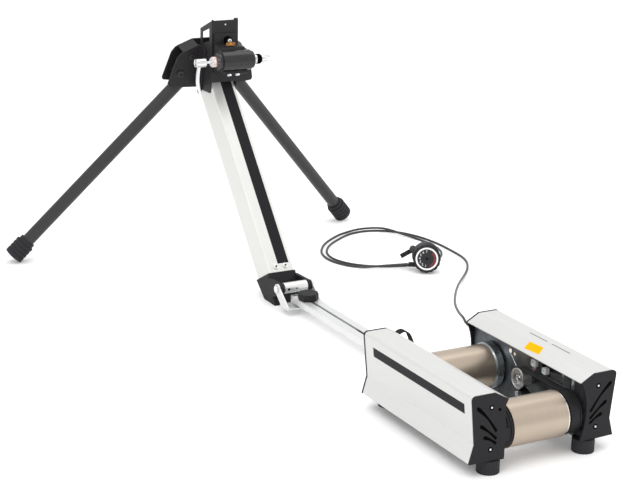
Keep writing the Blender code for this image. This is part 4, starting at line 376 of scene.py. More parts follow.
# %% Extruded aluminium
along_cover = finish("cover_aluminium", (0.60, 0.60, 0.59), 0.40, 0.35, 0.03, 900, (1, 0.016, 1),
                     bump=0.00002, edge=0.0006, gloss=0.06)
along_rail = finish("rail_aluminium", (0.67, 0.675, 0.67), 0.36, 0.5, 0.04, 900, (1, 0.016, 1),
                    bump=0.00002, edge=0.0004)
along_mast = finish("mast_aluminium", (0.67, 0.67, 0.65), 0.36, 0.5, 0.03, 500, (1, 0.03, 0.03),
                    bump=0.00002, edge=0.0005, gloss=0.06)
wear(along_rail, "rail aluminium", "rail")
print("extrusions:", along_cover.name, along_rail.name, along_mast.name)

# %% [markdown]
# The left cover carries one charcoal band, the right one two thin dashes on top, and the mast
# one black stripe. They are printed flat on the metal, so they belong in its material: a mask
# made of plain comparisons of the object's own coordinates picks the band, and mixes the ink
# over the aluminium.


# %% A mask of comparisons
same_way = 0.8    # a face counts as turned that way when the two directions agree this much


def box_mask(nodes, links, limits, facing):
    """A mask that is 1 inside a box of the object's own coordinates, on faces turned one way."""
    where = nodes.new("ShaderNodeTexCoord")
    split = nodes.new("ShaderNodeSeparateXYZ")
    links.new(where.outputs["Object"], split.inputs["Vector"])
    tests = []
    if facing:
        turned = nodes.new("ShaderNodeVectorMath")
        turned.operation = "DOT_PRODUCT"
        turned.inputs[1].default_value = facing
        links.new(where.outputs["Normal"], turned.inputs[0])
        tests.append(("GREATER_THAN", turned.outputs["Value"], same_way))
    for axis, span in limits.items():
        tests.append(("GREATER_THAN", split.outputs[axis], span[0]))
        tests.append(("LESS_THAN", split.outputs[axis], span[1]))
    mask = None
    for word, source, limit in tests:
        test = maths(nodes, links, word, source, limit)
        mask = maths(nodes, links, "MULTIPLY", mask, test) if mask else test
    return mask


print("faces agree from", same_way)

# %% [markdown]
# The mask then chooses between the metal and the ink, for the colour, for how metallic it is and
# for its roughness. The mix node has one set of sockets for colours and one for numbers.


# %% A helper for printing
colour_sockets = (6, 7, 2)
number_sockets = (2, 3, 0)


def printed(material, ink, limits, facing=None, metallic=0.0, roughness=0.42):
    """Mixes ink over a material inside a box of its own coordinates, on faces turned one way."""
    nodes, links = material.node_tree.nodes, material.node_tree.links
    shader = nodes["Principled BSDF"]
    mask = box_mask(nodes, links, limits, facing)
    for socket, value in (("Base Color", (*ink, 1)), ("Metallic", metallic), ("Roughness", roughness)):
        target = shader.inputs[socket]
        mix = nodes.new("ShaderNodeMix")
        mix.data_type = "RGBA" if socket == "Base Color" else "FLOAT"
        first, second, out = colour_sockets if socket == "Base Color" else number_sockets
        links.new(mask, mix.inputs["Factor"])
        if target.is_linked:
            links.new(target.links[0].from_socket, mix.inputs[first])
        else:
            mix.inputs[first].default_value = target.default_value
        mix.inputs[second].default_value = value
        links.new(mix.outputs[out], target)


print("sockets:", colour_sockets, number_sockets)

# %% [markdown]
# The band and the stripe keep clear of the edges that they run along, as printing does.

# %% Printed bands
charcoal = (0.016, 0.016, 0.018)
band_y = (rear_face + 0.022, rear_face + 0.2745)
printed(along_cover, charcoal, {"Y": band_y, "Z": (0.0913, 0.1065)}, (-1, 0, 0))
for dash in ((0.0846, 0.1305), (0.1416, 0.1864)):
    dash_y = (rear_face + dash[0], rear_face + dash[1])
    printed(along_cover, charcoal, {"X": (0.1039, 0.1057), "Y": dash_y}, (0, 0, 1))
mast_lean = math.radians(49.606)
mast_rear = Vector((0, -math.sin(mast_lean), math.cos(mast_lean)))
printed(along_mast, charcoal, {"X": (-0.0035, 0.0193), "Z": (0.0676, 0.372)}, mast_rear)
wear(along_cover, "cover aluminium", "left_cover", "right_cover")
wear(along_mast, "mast aluminium", "mast")
print("the band is", round(1000 * (band_y[1] - band_y[0]), 1), "mm long")

# %% [markdown]
# The rollers are anodised a champagne grey, with a bare turned rim at each end. Turning
# leaves rings, so here the noise is stretched round the roller: fine along X, coarse across.

# %% Rollers
roller_skin = finish("roller_anodised", (0.46, 0.385, 0.31), 0.34, 0.85, 0.04, 1500, (1, 0.01, 0.01),
                     bump=0.00001, edge=0.0008)
bare_rim = (0.78, 0.77, 0.75)
between_rollers = rear_face + 0.1
rim_metallic, rim_roughness = 1.0, 0.2
printed(roller_skin, bare_rim, {"X": (0.0455, 0.0475), "Y": (rear_face, between_rollers)}, None,
        rim_metallic, rim_roughness)
printed(roller_skin, bare_rim, {"X": (0.0615, 0.0640), "Y": (between_rollers, 0)}, None,
        rim_metallic, rim_roughness)
wear(roller_skin, "champagne anodising", "rear_roller", "front_roller")
print("the rollers part at y", round(between_rollers, 3))

# %% [markdown]
# Zinc plate is steel with a bluish, slightly cloudy brightness; polished steel is smoother and
# whiter. Powder coat is black with a fine orange peel, moulded plastic is black with a soft
# grain, and rubber is duller than both.

# %% Other finishes
zinc = finish("zinc_plate", (0.42, 0.46, 0.48), 0.28, 0.95, 0.12, 45, bump=0.00002, edge=0.0004)
# The inner plates' zinc is darkened to near black: painted shade for the unit's dark inside.
zinc_in_painted_shade = finish("zinc_in_painted_shade", (0.13, 0.14, 0.15), 0.36, 0.8, 0.25, 60, bump=0.00003, edge=0.0004)
brushed = finish("brushed_steel", (0.74, 0.74, 0.73), 0.38, 0.9, 0.06, 900, (1, 0.05, 0.05),
                 bump=0.00001, edge=0.0004)
polished = finish("polished_steel", (0.72, 0.72, 0.73), 0.16, 1.0, 0.04, 300, edge=0.0004)
turned_steel = finish("turned_steel", (0.62, 0.62, 0.64), 0.26, 1.0, 0.06, 700, (1, 0.05, 0.05),
                      bump=0.00001, edge=0.0004)
powder_coat = finish("powder_coat", (0.017, 0.0155, 0.017), 0.46, 0.0, 0.15, 900, bump=0.00004,
                     edge=0.0006, coat=0.02, gloss=0.24)
moulded = finish("moulded_plastic", (0.017, 0.016, 0.018), 0.52, 0.0, 0.15, 1400, bump=0.00004,
                 edge=0.0008, gloss=0.14)
worn_black = finish("worn_black", (0.045, 0.045, 0.048), 0.34, 0.7, 0.3, 500, edge=0.0003)
# Near-pure black: the own colour of the black collar and washer, and painted shade in holes, recesses and
# slits.
black_and_painted_shade = finish("black_and_painted_shade", (0.0015, 0.0015, 0.0015), 0.8, 0.0, 0.2, 900, gloss=0.02)
grip_rubber = finish("grip_rubber", (0.018, 0.018, 0.022), 0.72, 0.0, 0.2, 700, bump=0.00006,
                     edge=0.0008, gloss=0.3)
belt_rubber = finish("belt_rubber", (0.010, 0.010, 0.011), 0.6, 0.0, 0.3, 900, (1, 0.2, 0.2),
                     bump=0.00004, gloss=0.25)
tube_coat = finish("tube_coat", (0.026, 0.025, 0.027), 0.42, 0.0, 0.15, 900, bump=0.00004,
                   edge=0.0006, coat=0.03, gloss=0.34)
hub_gloss = finish("hub_gloss", (0.014, 0.013, 0.014), 0.24, 0.0, 0.1, 200, edge=0.0006, coat=0.15,
                   gloss=0.35)
cast_block = finish("cast_block", (0.66, 0.67, 0.66), 0.44, 0.6, 0.06, 120, bump=0.00003, edge=0.0008)
casing = finish("casing_jacket", (0.026, 0.027, 0.031), 0.42, 0.0, 0.1, 500, coat=0.05, gloss=0.4)
pale_plastic = finish("pale_plastic", (0.62, 0.63, 0.62), 0.45, 0.0, 0.08, 300, bump=0.00003, edge=0.0005)
bright_zinc = finish("bright_zinc", (0.74, 0.77, 0.79), 0.22, 1.0, 0.08, 400, edge=0.0002)
rose_zinc = finish("rose_zinc", (0.76, 0.60, 0.56), 0.26, 0.95, 0.15, 500, edge=0.0002)
print("finishes ready:", len(bpy.data.materials))

# %% [markdown]
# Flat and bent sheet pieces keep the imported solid, whose shape is already right, and only take
# a better material.

# %% Sheet pieces
wear(zinc, "zinc plate", "tongue", "front_crossbeam")
# The inner plates, the magnet carrier and the rotor's bearing take the zinc darkened as painted shade.
wear(zinc_in_painted_shade, "dull zinc plate", "left_side_plate", "right_side_plate", "magnet_carrier", "rotor_bearing")
wear(powder_coat, "powder coat", "head_channel", "leg_bracket", "hub_cradle", "rail_mount",
     "middle_crossbeam", "magnet_segment")
wear(moulded, "moulded plastic", "left_rear_end_plate", "right_rear_end_plate",
     "left_front_end_plate", "right_front_end_plate", "remote_clamp")
wear(grip_rubber, "rubber", "webbing_loop")
wear(cast_block, "cast aluminium", "hinge_bracket")
print("the packed solids keep their form here")

# %% [markdown]
# Turned and moulded pieces are round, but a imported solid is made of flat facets. Each round one
# is stood for by a piece of the same form: its doubled corner points are merged first, and then
# it is shaded as one surface except across real edges, which turn by more than 35 degrees.


# %% A helper for round pieces
weld = 0.000002    # corner points nearer than this are one point
real_edge = math.radians(35)


def piece_of(name, mesh, dress, body):
    """A dressed piece that is shaded smooth between real edges and rides on a body."""
    mesh.materials.append(dress)
    mesh.shade_smooth()
    mesh.set_sharp_from_angle(angle=real_edge)
    piece = in_scene(name, mesh)
    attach(piece, body)
    return piece


def smooth_piece(node, dress):
    """A smooth piece with a node's own form, in its place."""
    merged = bmesh.new()
    merged.from_mesh(frame["nodes"][node].data)
    bmesh.ops.remove_doubles(merged, verts=merged.verts, dist=weld)
    merged.verts.index_update()
    mesh = bpy.data.meshes.new(node + "_smooth")
    mesh.from_pydata([v.co for v in merged.verts], [], [[v.index for v in f.verts] for f in merged.faces])
    merged.free()
    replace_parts(piece_of(node + "_smooth", mesh, dress, carrier(node)), node)


print("real edges turn by more than", round(math.degrees(real_edge)), "degrees")

# %% [markdown]
# The table gives each finish its pieces, from the rollers to the hub.

# %% Round pieces
round_pieces = (
    (roller_skin, "bronze", ("rear_roller", "front_roller")),
    (zinc, "zinc", ("flywheel_ring",)),
    (polished, "steel", ("hinge_pin", "skewer", "quick_release_lever", "skewer_nut")),
    (brushed, "steel", ("rotor_pulley", "hinge_barrel")),
    (pale_plastic, "aluminium", ("carrier_hub",)),
    (turned_steel, "steel", ("rear_left_bearing", "rear_right_bearing", "front_left_bearing",
                             "front_right_bearing", "rear_axle", "front_axle", "rotor_shaft",
                             "hub_axle")),
    (turned_steel, "aluminium", ("rotor_disc",)),
    (tube_coat, "black_metal", ("left_leg", "right_leg")),
    (moulded, "black_plastic", ("foot_block", "clamp_knob", "remote_body", "remote_dial", "cable_gland",
                                "rear_pulley")),
    (grip_rubber, "rubber", ("front_left_foot", "front_right_foot", "rear_left_foot",
                             "rear_right_foot", "left_leg_cap", "right_leg_cap")),
    (belt_rubber, "rubber", ("drive_belt",)),
    (hub_gloss, "black_metal", ("hub_barrel",)),
)
for dress, slot, names in round_pieces:
    for name in names:
        smooth_piece(name, dress)
print("smooth pieces:", sum(len(names) for dress, slot, names in round_pieces))

# %% [markdown]
# Screws and bolts are all made one way: a stack of rings round one line, joined by faces. A ring
# can be round, six sided or a cross, so the same few lines make a domed head, a hexagon and the
# recess of a cross head, which is a smaller cross at the top and one more a little deeper.


# %% Rings
cross_arm = 0.3       # half an arm's width, as a share of the cross
knurl_groove = 0.93
squareness = 6        # a higher power gives a rounded square with sharper corners
near_zero = 0.001


def ring_points(size, steps, kind="round"):
    """Points round the middle: a circle, a hexagon, a cross, a rounded square or a knurled edge."""
    points = []
    for i in range(steps):
        turn = 2 * math.pi * i / steps
        across, along = abs(math.cos(turn)), abs(math.sin(turn))
        reach = size
        if kind == "hex":
            reach = size * math.cos(math.pi / 6) / math.cos(turn % (math.pi / 3) - math.pi / 6)
        elif kind == "cross":
            reach = min(size, cross_arm * size / max(min(across, along), near_zero))
        elif kind == "block":
            reach = size / (across ** squareness + along ** squareness) ** (1 / squareness)
        elif kind == "knurl" and i % 2:
            reach = size * knurl_groove
        points.append((reach * math.cos(turn), reach * math.sin(turn)))
    return points


print("hexagon:", [round(math.hypot(*p), 3) for p in ring_points(1.0, 12, "hex")[:4]])

# %% [markdown]
# A loft joins loops of points, each to the next, and is closed into a ring or capped at both
# ends. Screws, strokes, stickers and bands all come from it. Its faces are then turned outward.


# %% Lofts
def skinned(loops, closed=False):
    """A built mesh that joins loops of points, closed into a ring or capped at both ends."""
    build = bmesh.new()
    corners = [[build.verts.new(point) for point in loop] for loop in loops]
    if closed:
        corners.append(corners[0])
    else:
        build.faces.new(corners[-1])
        build.faces.new(list(reversed(corners[0])))
    for low, high in zip(corners, corners[1:]):
        for i in range(len(low)):
            j = (i + 1) % len(low)
            build.faces.new((low[i], low[j], high[j], high[i]))
    return build


def finished(name, build, dress, body):
    """Turns a built mesh into a dressed piece."""
    bmesh.ops.recalc_face_normals(build, faces=build.faces)
    mesh = bpy.data.meshes.new(name)
    build.to_mesh(mesh)
    build.free()
    return piece_of(name, mesh, dress, body)


def lofted(name, rings, place, out, dress, body, steps=48):
    """A piece through rings: a size, a height along out, and a kind for one that isn't round."""
    turn = Vector(out).to_track_quat("Z", "Y").to_matrix()
    closed = rings[0] == rings[-1]    # then the middle stays open, as in a washer
    loops = [[Vector(place) + turn @ Vector((u, v, height)) for u, v in ring_points(size, steps, *kind)]
             for size, height, *kind in (rings[:-1] if closed else rings)]
    return finished(name, skinned(loops, closed), dress, body)


sunk = 0.0001    # a fastener's foot is sunk this far, so that no light passes under it
print("feet are sunk by", 1000 * sunk, "mm")

# %% [markdown]
# Each kind of head is a short recipe of rings that depends on its radius and its height.


# %% Heads, washers and holes
def pan_head(r, h):
    """A low domed head with a cross recess."""
    return [(r, 0), (r, h * 0.4), (r * 0.9, h * 0.8), (r * 0.62, h),
            (r * 0.55, h, "cross"), (r * 0.42, h * 0.3, "cross")]


def socket_head(r, h):
    """A bolt head with a six sided socket."""
    return [(r, 0), (r, h * 0.85), (r * 0.9, h), (r * 0.62, h),
            (r * 0.55, h, "hex"), (r * 0.52, h * 0.35, "hex")]


def hex_head(r, h):
    """A six sided bolt head with a round chamfer on top."""
    return [(r, 0, "hex"), (r, h * 0.82, "hex"), (r * 0.84, h), (r * 0.3, h)]


def washer(r, h):
    """A flat ring that is closed below the bolt's head."""
    return [(r, 0), (r, h * 0.8), (r * 0.94, h)]


def plain_hole(r, h):
    """A shallow disc with a rim, for a hole whose depth can't be seen; in black it is painted shade."""
    return [(r, 0), (r, h), (r * 0.8, h), (r * 0.75, h * 0.6)]


print("rings of a pan head:", len(pan_head(1, 1)))

# %% [markdown]
# A fastener must sit on the metal, so its place is not typed: a ray goes out from behind the
# trainer and stops at the first surface that it meets.


# %% Find a surface
def on_surface(nodes, start, way):
    """Where a ray first meets any of some nodes, and which way that surface faces."""
    best = None
    for node in nodes:
        data = frame["nodes"][node].data
        tree = BVHTree.FromPolygons([v.co for v in data.vertices], [f.vertices[:] for f in data.polygons])
        hit, normal, _, distance = tree.ray_cast(start, way)
        if hit and (best is None or distance < best[2]):
            best = (hit, normal if normal.dot(way) < 0 else -normal, distance)
    if best is None:
        raise ValueError(f"no surface of {nodes} ahead of {tuple(start)}")
    print("surface of", nodes[0], "at", [round(v, 4) for v in best[0]])
    return best[0], best[1]


# %% Fasteners seen from behind
from_behind = Vector((0, 1, 0))
far_behind, far_ahead, far_above = -1.5, 1.0, 1.0    # where the rays start, clear of the trainer
plate_screw = [(0.0017, 0), (0.0017, 0.0006), (0.0013, 0.0010),
               (0.0009, 0.0010, "cross"), (0.0008, 0.0006, "cross")]
countersink = [(0.0038, 0), (0.0038, 0.0002), (0.0034, 0.0003)]
wing_bolt = socket_head(0.0055, 0.0030)
wing_bolt_low = socket_head(0.0066, 0.0035)
cradle_bolt = socket_head(0.0042, 0.0034)
mast_screw = pan_head(0.0054, 0.0028)
cross_shadow = [(0.0028, 0.0003, "cross"), (0.0028, 0.0010, "cross")]
wings = (("low", 0.0676, 0.3776, wing_bolt_low), ("top", 0.0468, 0.4115, wing_bolt),
         ("in", 0.0310, 0.3725, wing_bolt))
wing_bolts = [(f"wing_bolt_{word}_{where}", ("leg_bracket",), side * x, z, rings, worn_black)
              for side, word in ((-1, "left"), (1, "right")) for where, x, z, rings in wings]
head_nodes = ("hub_cradle", "head_channel")
fasteners = (
    ("left_plate_screw_top", ("left_rear_end_plate",), -0.0923, 0.1036, plate_screw, bright_zinc),
    ("left_plate_screw_low", ("left_rear_end_plate",), -0.0912, 0.0398, plate_screw, bright_zinc),
    ("right_plate_screw_top", ("right_rear_end_plate",), 0.0937, 0.1047, plate_screw, bright_zinc),
    ("right_plate_screw_low", ("right_rear_end_plate",), 0.0934, 0.0409, plate_screw, bright_zinc),
    # The peg is a shallow black disc: painted shade in its hole.
    ("left_plate_peg", ("left_rear_end_plate",), -0.0785, 0.0984, plain_hole(0.0024, 0.0004), black_and_painted_shade),
    *wing_bolts,
    # A pale disc fills the channel's hole: painted light for the bright floor seen through it.
    ("channel_hole", ("head_channel",), 0.0010, 0.4780, plain_hole(0.0016, 0.0003), pale_plastic),
    ("channel_washer", head_nodes, 0.0040, 0.4480, washer(0.0080, 0.0036), black_and_painted_shade),
    ("channel_bolt", head_nodes, 0.0040, 0.4480, socket_head(0.0045, 0.0105), bright_zinc),
    ("cradle_bolt_left", ("hub_cradle",), -0.0150, 0.3915, cradle_bolt, bright_zinc),
    ("cradle_bolt_right", ("hub_cradle",), 0.0020, 0.3915, cradle_bolt, bright_zinc),
    ("mast_screw_left", ("mast",), -0.0090, 0.0635, mast_screw, brushed),
    ("mast_screw_right", ("mast",), 0.0100, 0.0635, mast_screw, brushed),
)
print("fasteners seen from behind:", len(fasteners))

# %% [markdown]
# Each ray's end gives a place and the way that the surface faces. The plates' screws also get a
# dark countersink, and the mast's screws a dark cross, because at this size the shadow in a
# recess is what one sees.

# %% Put the fasteners on
for name, nodes, x, z, rings, dress in fasteners:
    spot, facing = on_surface(nodes, from_rear(x, far_behind, z), from_behind)
    body = carrier(nodes[0])
    lofted(name, rings, spot - facing * sunk, facing, dress, body)
    if rings is plate_screw:
        lofted(name + "_recess", countersink, spot, facing, black_and_painted_shade, body)
    elif rings is mast_screw:
        lofted(name + "_recess", cross_shadow, spot, facing, black_and_painted_shade, body)
print("the last one rides on", body)

# %% [markdown]
# The barrel at the hinge has a small cross hole. It faces the camera, so its ray runs the same
# way as the line of sight. The belt's small pulley gets two turned rings and its bolt.

# %% Cross hole and pulley face
sight = Vector((0.442, 0.84, -0.3146))
spot, facing = on_surface(("hinge_barrel",), from_rear(-0.0765, 0.6426, 0.0832), sight)
# The cross hole is a black disc of painted shade.
lofted("barrel_hole", plain_hole(0.0026, 0.0003), spot - facing * sunk, facing, black_and_painted_shade,
       carrier("hinge_barrel"), steps=24)
pulley_body = carrier("rotor_pulley")
pulley_low, pulley_high = [Vector(corner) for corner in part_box("rotor_pulley")]
pulley_face = (pulley_low + pulley_high) / 2
pulley_face.x = pulley_low.x
outer_ring = [(0.0145, -0.0002), (0.0147, 0.0006), (0.0158, 0.0008),
              (0.0163, 0.0004), (0.0163, -0.0002), (0.0145, -0.0002)]
inner_ring = [(0.0080, -0.0044), (0.0082, -0.0004), (0.0096, -0.0002),
              (0.0104, -0.0006), (0.0105, -0.0044), (0.0080, -0.0044)]
leftward, rightward = (-1, 0, 0), (1, 0, 0)
for name, rings in (("pulley_outer_ring", outer_ring), ("pulley_inner_ring", inner_ring)):
    lofted(name, rings, pulley_face, leftward, polished, pulley_body)
bolt_seat = 0.0016    # the bolt's head starts this far behind the pulley's face
lofted("pulley_bolt", socket_head(0.0050, 0.0022), pulley_face + Vector((bolt_seat, 0, 0)), leftward,
       polished, pulley_body)
print("pulley face at x", round(pulley_face.x, 4))

# %% [markdown]
# The front end plates carry the same two screws, seen when one walks round the trainer.

# %% Fasteners seen from the front
front_screw_x = 0.0925
for side, plate in ((-1, "left_front_end_plate"), (1, "right_front_end_plate")):
    for height in (0.1040, 0.0400):
        spot, facing = on_surface((plate,), from_rear(side * front_screw_x, far_ahead, height), -from_behind)
        name = f"{plate}_screw_{round(height * 1000)}"
        lofted(name, plate_screw, spot - facing * sunk, facing, bright_zinc, "base")
        lofted(name + "_recess", countersink, spot, facing, black_and_painted_shade, "base")
print("front screws at", front_screw_x, "m from the middle")

# %% [markdown]
# The slits of the rear end plates are cut right through, and in the photograph they look like
# bold black strokes, because the unit is dark behind them and their edges are rounded. That look
# is painted shade: a thin black inlay along each stroke and a black sheet behind each plate.


# %% A stroke
slit_widths = (0.0030, 0.0058, 0.0029, 0.0042)
stroke_steps = 6
inlay_rise, inlay_root = 0.00015, 0.0004    # how far it stands out of the plate and reaches in


def stroke(name, points):
    """A black inlay of painted shade along points (x, z) on the rear face, with its width changing on the
    way.
    """
    line = rounded([Vector((x, z)) for x, z in points], stroke_steps)
    loops = []
    for i, here in enumerate(line):
        share = i / (len(line) - 1) * (len(slit_widths) - 1)
        first = min(int(share), len(slit_widths) - 2)
        width = slit_widths[first] + (slit_widths[first + 1] - slit_widths[first]) * (share - first)
        way = (line[min(i + 1, len(line) - 1)] - line[max(i - 1, 0)]).normalized()
        side = Vector((-way.y, way.x)) * width / 2
        edges = ((here + side, -inlay_rise), (here - side, -inlay_rise),
                 (here - side, inlay_root), (here + side, inlay_root))
        loops.append([from_rear(c.x, y, c.y) for c, y in edges])
    finished(name, skinned(loops), black_and_painted_shade, "base")


print("widest stroke:", round(1000 * max(slit_widths), 1), "mm")

# %% [markdown]
# Three strokes fan out on each plate, and the right plate mirrors the left one.

# %% Slits
slit_lines = (
    ((0.1175, 0.1066), (0.1135, 0.1040), (0.0977, 0.0878), (0.0820, 0.0658)),
    ((0.1105, 0.0787), (0.1075, 0.0768), (0.0958, 0.0678), (0.0818, 0.0547)),
    ((0.1040, 0.0600), (0.1000, 0.0588), (0.0915, 0.0545), (0.0819, 0.0475)),
)
for side, word in ((-1, "left"), (1, "right")):
    for number, points in enumerate(slit_lines):
        stroke(f"{word}_slit_{number}", [(side * x, z) for x, z in points])
print("strokes:", 2 * len(slit_lines))

# %% [markdown]
# The painted shade behind the strokes is a flat black sheet with four corners, cut to lie behind all three.

# %% Painted shade behind the slits
shade_sheet_depths = (0.0034, 0.0040)
shade_sheet_outline = ((0.078, 0.040), (0.112, 0.052), (0.121, 0.112), (0.076, 0.074))
for side, word in ((-1, "left"), (1, "right")):
    sheets = [[from_rear(side * x, depth, z) for x, z in shade_sheet_outline] for depth in shade_sheet_depths]
    finished(f"{word}_slit_painted_shade", skinned(sheets), black_and_painted_shade, "base")
print("lining", round(1000 * (shade_sheet_depths[1] - shade_sheet_depths[0]), 1), "mm thick")

# %% [markdown]
# The cable's jacket is one of the finishes above.

# %% The cable's jacket
cable.data.materials.append(casing)
print("the cable's route has", len(cable_line), "points")

# %% [markdown]
# A blank amber sticker lies on the right cover's chamfer. Each of its corners is found by a ray,
# so that it follows the metal, and a second sheet just above makes it a thin closed piece.

# %% Sticker
amber = finish("amber_sticker", (0.90, 0.42, 0.0), 0.55, 0.0, 0.04, 300, gloss=0.05)
sheet_thickness = 0.0002
straight_down = Vector((0, 0, -1))
chamfer = ((0.0833, 0.1566), (0.0849, 0.1240), (0.0725, 0.1179), (0.0702, 0.1532))
corners = [on_surface(("right_cover",), from_rear(x, y, far_above), straight_down) for x, y in chamfer]
sheets = [[spot + facing * lift for spot, facing in corners] for lift in (0, sheet_thickness)]
finished("cover_sticker", skinned(sheets), amber, "base")
print("sticker corners:", len(corners))

# %% [markdown]
# On the head, a brown pad stands behind the barrel, and the channel's top edge ends in two small
# lips. Each is a plate between two corners whose edges are broken, as real edges are.

# %% Pad and lips
brown = finish("brown_sticker", (0.36, 0.15, 0.035), 0.45, 0.0, 0.2, 300)
mast_body = carrier("head_channel")
plate_edge, rivet_edge = 0.0004, 0.0002


def bar(name, low, high, dress, edge=plate_edge):
    """A small plate on the head, between two corners given from the rear face."""
    build = bmesh.new()
    bmesh.ops.create_cube(build, size=1.0)
    low, high = from_rear(*low), from_rear(*high)
    for vert in build.verts:
        vert.co = Vector([(a + b) / 2 + share * (b - a) for share, a, b in zip(vert.co, low, high)])
    bmesh.ops.bevel(build, geom=build.edges[:], offset=edge, segments=2, affect="EDGES")
    finished(name, build, dress, mast_body)


bar("head_pad", (-0.0070, 1.0462, 0.4400), (0.0120, 1.0478, 0.4464), brown)
bar("head_pad_rivet", (0.0005, 1.0457, 0.4422), (0.0045, 1.0464, 0.4442), amber, rivet_edge)
bar("channel_lip", (0.0190, 1.0676, 0.4860), (0.0274, 1.0694, 0.4892), powder_coat)
bar("channel_lip_left", (-0.0274, 1.0676, 0.4860), (-0.0236, 1.0694, 0.4880), powder_coat)
print("the pad and the lips ride on", mast_body)

# %% [markdown]
# The webbing loop is a strap, 15 mm wide, that goes round the rail and stands up in an arch. The
# weave is drawn by two waves that cross, one along the strap and one across it, whose product
# stands for the threads.

# %% Weave
webbing = finish("webbing_weave", (0.020, 0.020, 0.022), 0.85, 0.0, 0.2, 900, gloss=0.15)
thread_scale, thread_height = 260.0, 0.0003
weave_nodes, weave_links = webbing.node_tree.nodes, webbing.node_tree.links
weave_place = weave_nodes.new("ShaderNodeTexCoord")
weave_height = None
for direction in ("Y", "Z"):
    wave = tuned(weave_nodes.new("ShaderNodeTexWave"), Scale=thread_scale)
    wave.bands_direction = direction
    weave_links.new(weave_place.outputs["Object"], wave.inputs["Vector"])
    threads = wave.outputs["Fac"]
    if weave_height:
        threads = maths(weave_nodes, weave_links, "MULTIPLY", weave_height, threads)
    weave_height = threads
weave_bump = tuned(weave_nodes.new("ShaderNodeBump"), Distance=thread_height)
weave_links.new(weave_height, weave_bump.inputs["Height"])
weave_links.new(weave_bump.outputs["Normal"], weave_nodes["Principled BSDF"].inputs["Normal"])
print("threads at", thread_scale, "waves")

# %% [markdown]
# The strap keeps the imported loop's form. Only its two selvages are drawn in by 0.4 mm, so that
# the soft edge stays inside the solid that it stands for.

# %% Webbing loop
loop_low, loop_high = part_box("webbing_loop")
loop_middle = (loop_low[1] + loop_high[1]) / 2
at_side, drawn_in = 0.0001, 0.0004
merged = bmesh.new()
merged.from_mesh(frame["nodes"]["webbing_loop"].data)
bmesh.ops.remove_doubles(merged, verts=merged.verts, dist=weld)
for vert in merged.verts:
    if min(abs(vert.co.y - loop_low[1]), abs(vert.co.y - loop_high[1])) < at_side:
        vert.co.y += drawn_in if vert.co.y < loop_middle else -drawn_in
strap = finished("webbing_strap", merged, webbing, "base")
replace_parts(strap, "webbing_loop")
print("strap", round(1000 * (loop_high[1] - loop_low[1]), 1), "mm wide")

# %% [markdown]
# The remote's dial is read by its face: a white ring round a black disc, plain white numbers on
# the left, and a dark red arc on the right. They turn with the dial.

# %% Dial face
dial_body = carrier("remote_dial")
ring_white = finish("ring_white", (0.80, 0.80, 0.79), 0.40, 0.0, 0.03, 300)
mark_white = finish("mark_white", (0.60, 0.60, 0.60), 0.50, 0.0, 0.02, 300)
dark_red = finish("dark_red", (0.16, 0.012, 0.014), 0.45, 0.0, 0.1, 300)
satin_black = finish("satin_black", (0.020, 0.020, 0.023), 0.35, 0.0, 0.1, 300, gloss=0.3)
degrees_per_step = 6


def dial_band(name, start, end, inner, outer, low, high, dress):
    """Part of a flat ring on the dial, between two angles in degrees and two radii."""
    steps = max(2, round(abs(end - start) / degrees_per_step))
    closed = abs(end - start) == 360
    loops = []
    for i in range(steps if closed else steps + 1):
        angle = math.radians(start + (end - start) * i / steps)
        loops.append([on_remote(r * math.cos(angle), r * math.sin(angle), out)
                      for r, out in ((inner, low), (outer, low), (outer, high), (inner, high))])
    finished(name, skinned(loops, closed), dress, dial_body)


dial_band("dial_ring", 0, 360, 0.0189, 0.0222, 0.0106, 0.0124, ring_white)
dial_band("dial_rim", 0, 360, 0.0223, 0.0249, 0.0112, 0.0126, satin_black)
dial_band("dial_disc", 0, 360, 0.0014, 0.0188, 0.0104, 0.0111, satin_black)
dial_band("dial_step", 0, 360, 0.0060, 0.0066, 0.0110, 0.0115, moulded)
dial_band("dial_arc", -62, 48, 0.0135, 0.0176, 0.0111, 0.01125, dark_red)
print("the dial's bands ride on", dial_body)

# %% [markdown]
# The numbers are plain text, thickened a little and kept as meshes. They stand on a circle, all
# upright in the remote's own directions.

# %% Dial numbers
figure_size, figure_bold, figure_thickness = 0.0062, 0.00012, 0.0001
figure_circle, figure_height = 0.0142, 0.0112
upright = Matrix((dial_right, dial_up, dial_out)).transposed().to_4x4()
for number, angle in enumerate((262, 234, 206, 178, 150, 122, 94)):
    words = bpy.data.curves.new("typed", "FONT")
    words.body = str(number + 1)
    words.size = figure_size
    words.offset = figure_bold
    words.extrude = figure_thickness
    words.align_x = "CENTER"
    words.align_y = "CENTER"
    figure = as_mesh(f"dial_number_{number + 1}", words)
    figure.data.materials.append(mark_white)
    angle = math.radians(angle)
    spot = on_remote(figure_circle * math.cos(angle), figure_circle * math.sin(angle), figure_height)
    figure.matrix_world = Matrix.Translation(spot) @ upright
    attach(figure, dial_body)
print("numbers up to", number + 1)

# %% [markdown]
# Behind the dial the photograph shows a rounded shell, a little higher than the dial, and a
# knuckle where the clamp's arm begins. The dial's face has a small hole in its middle.

# %% Shell, knuckle and centre of the remote
remote_body = carrier("remote_body")
shell = [(0.0225, 0), (0.0262, 0.0012), (0.0272, 0.0035), (0.0272, 0.0090), (0.0255, 0.0118),
         (0.0190, 0.0130)]
lofted("remote_shell", shell, on_remote(-0.0026, 0.0072, -0.0006), -dial_out, worn_black, remote_body)
knuckle = [(0.0050, 0), (0.0068, 0.0010), (0.0068, 0.0110), (0.0054, 0.0120)]
lofted("remote_knuckle", knuckle, on_remote(-0.0285, 0.0190, -0.0020), -dial_out, casing, remote_body)
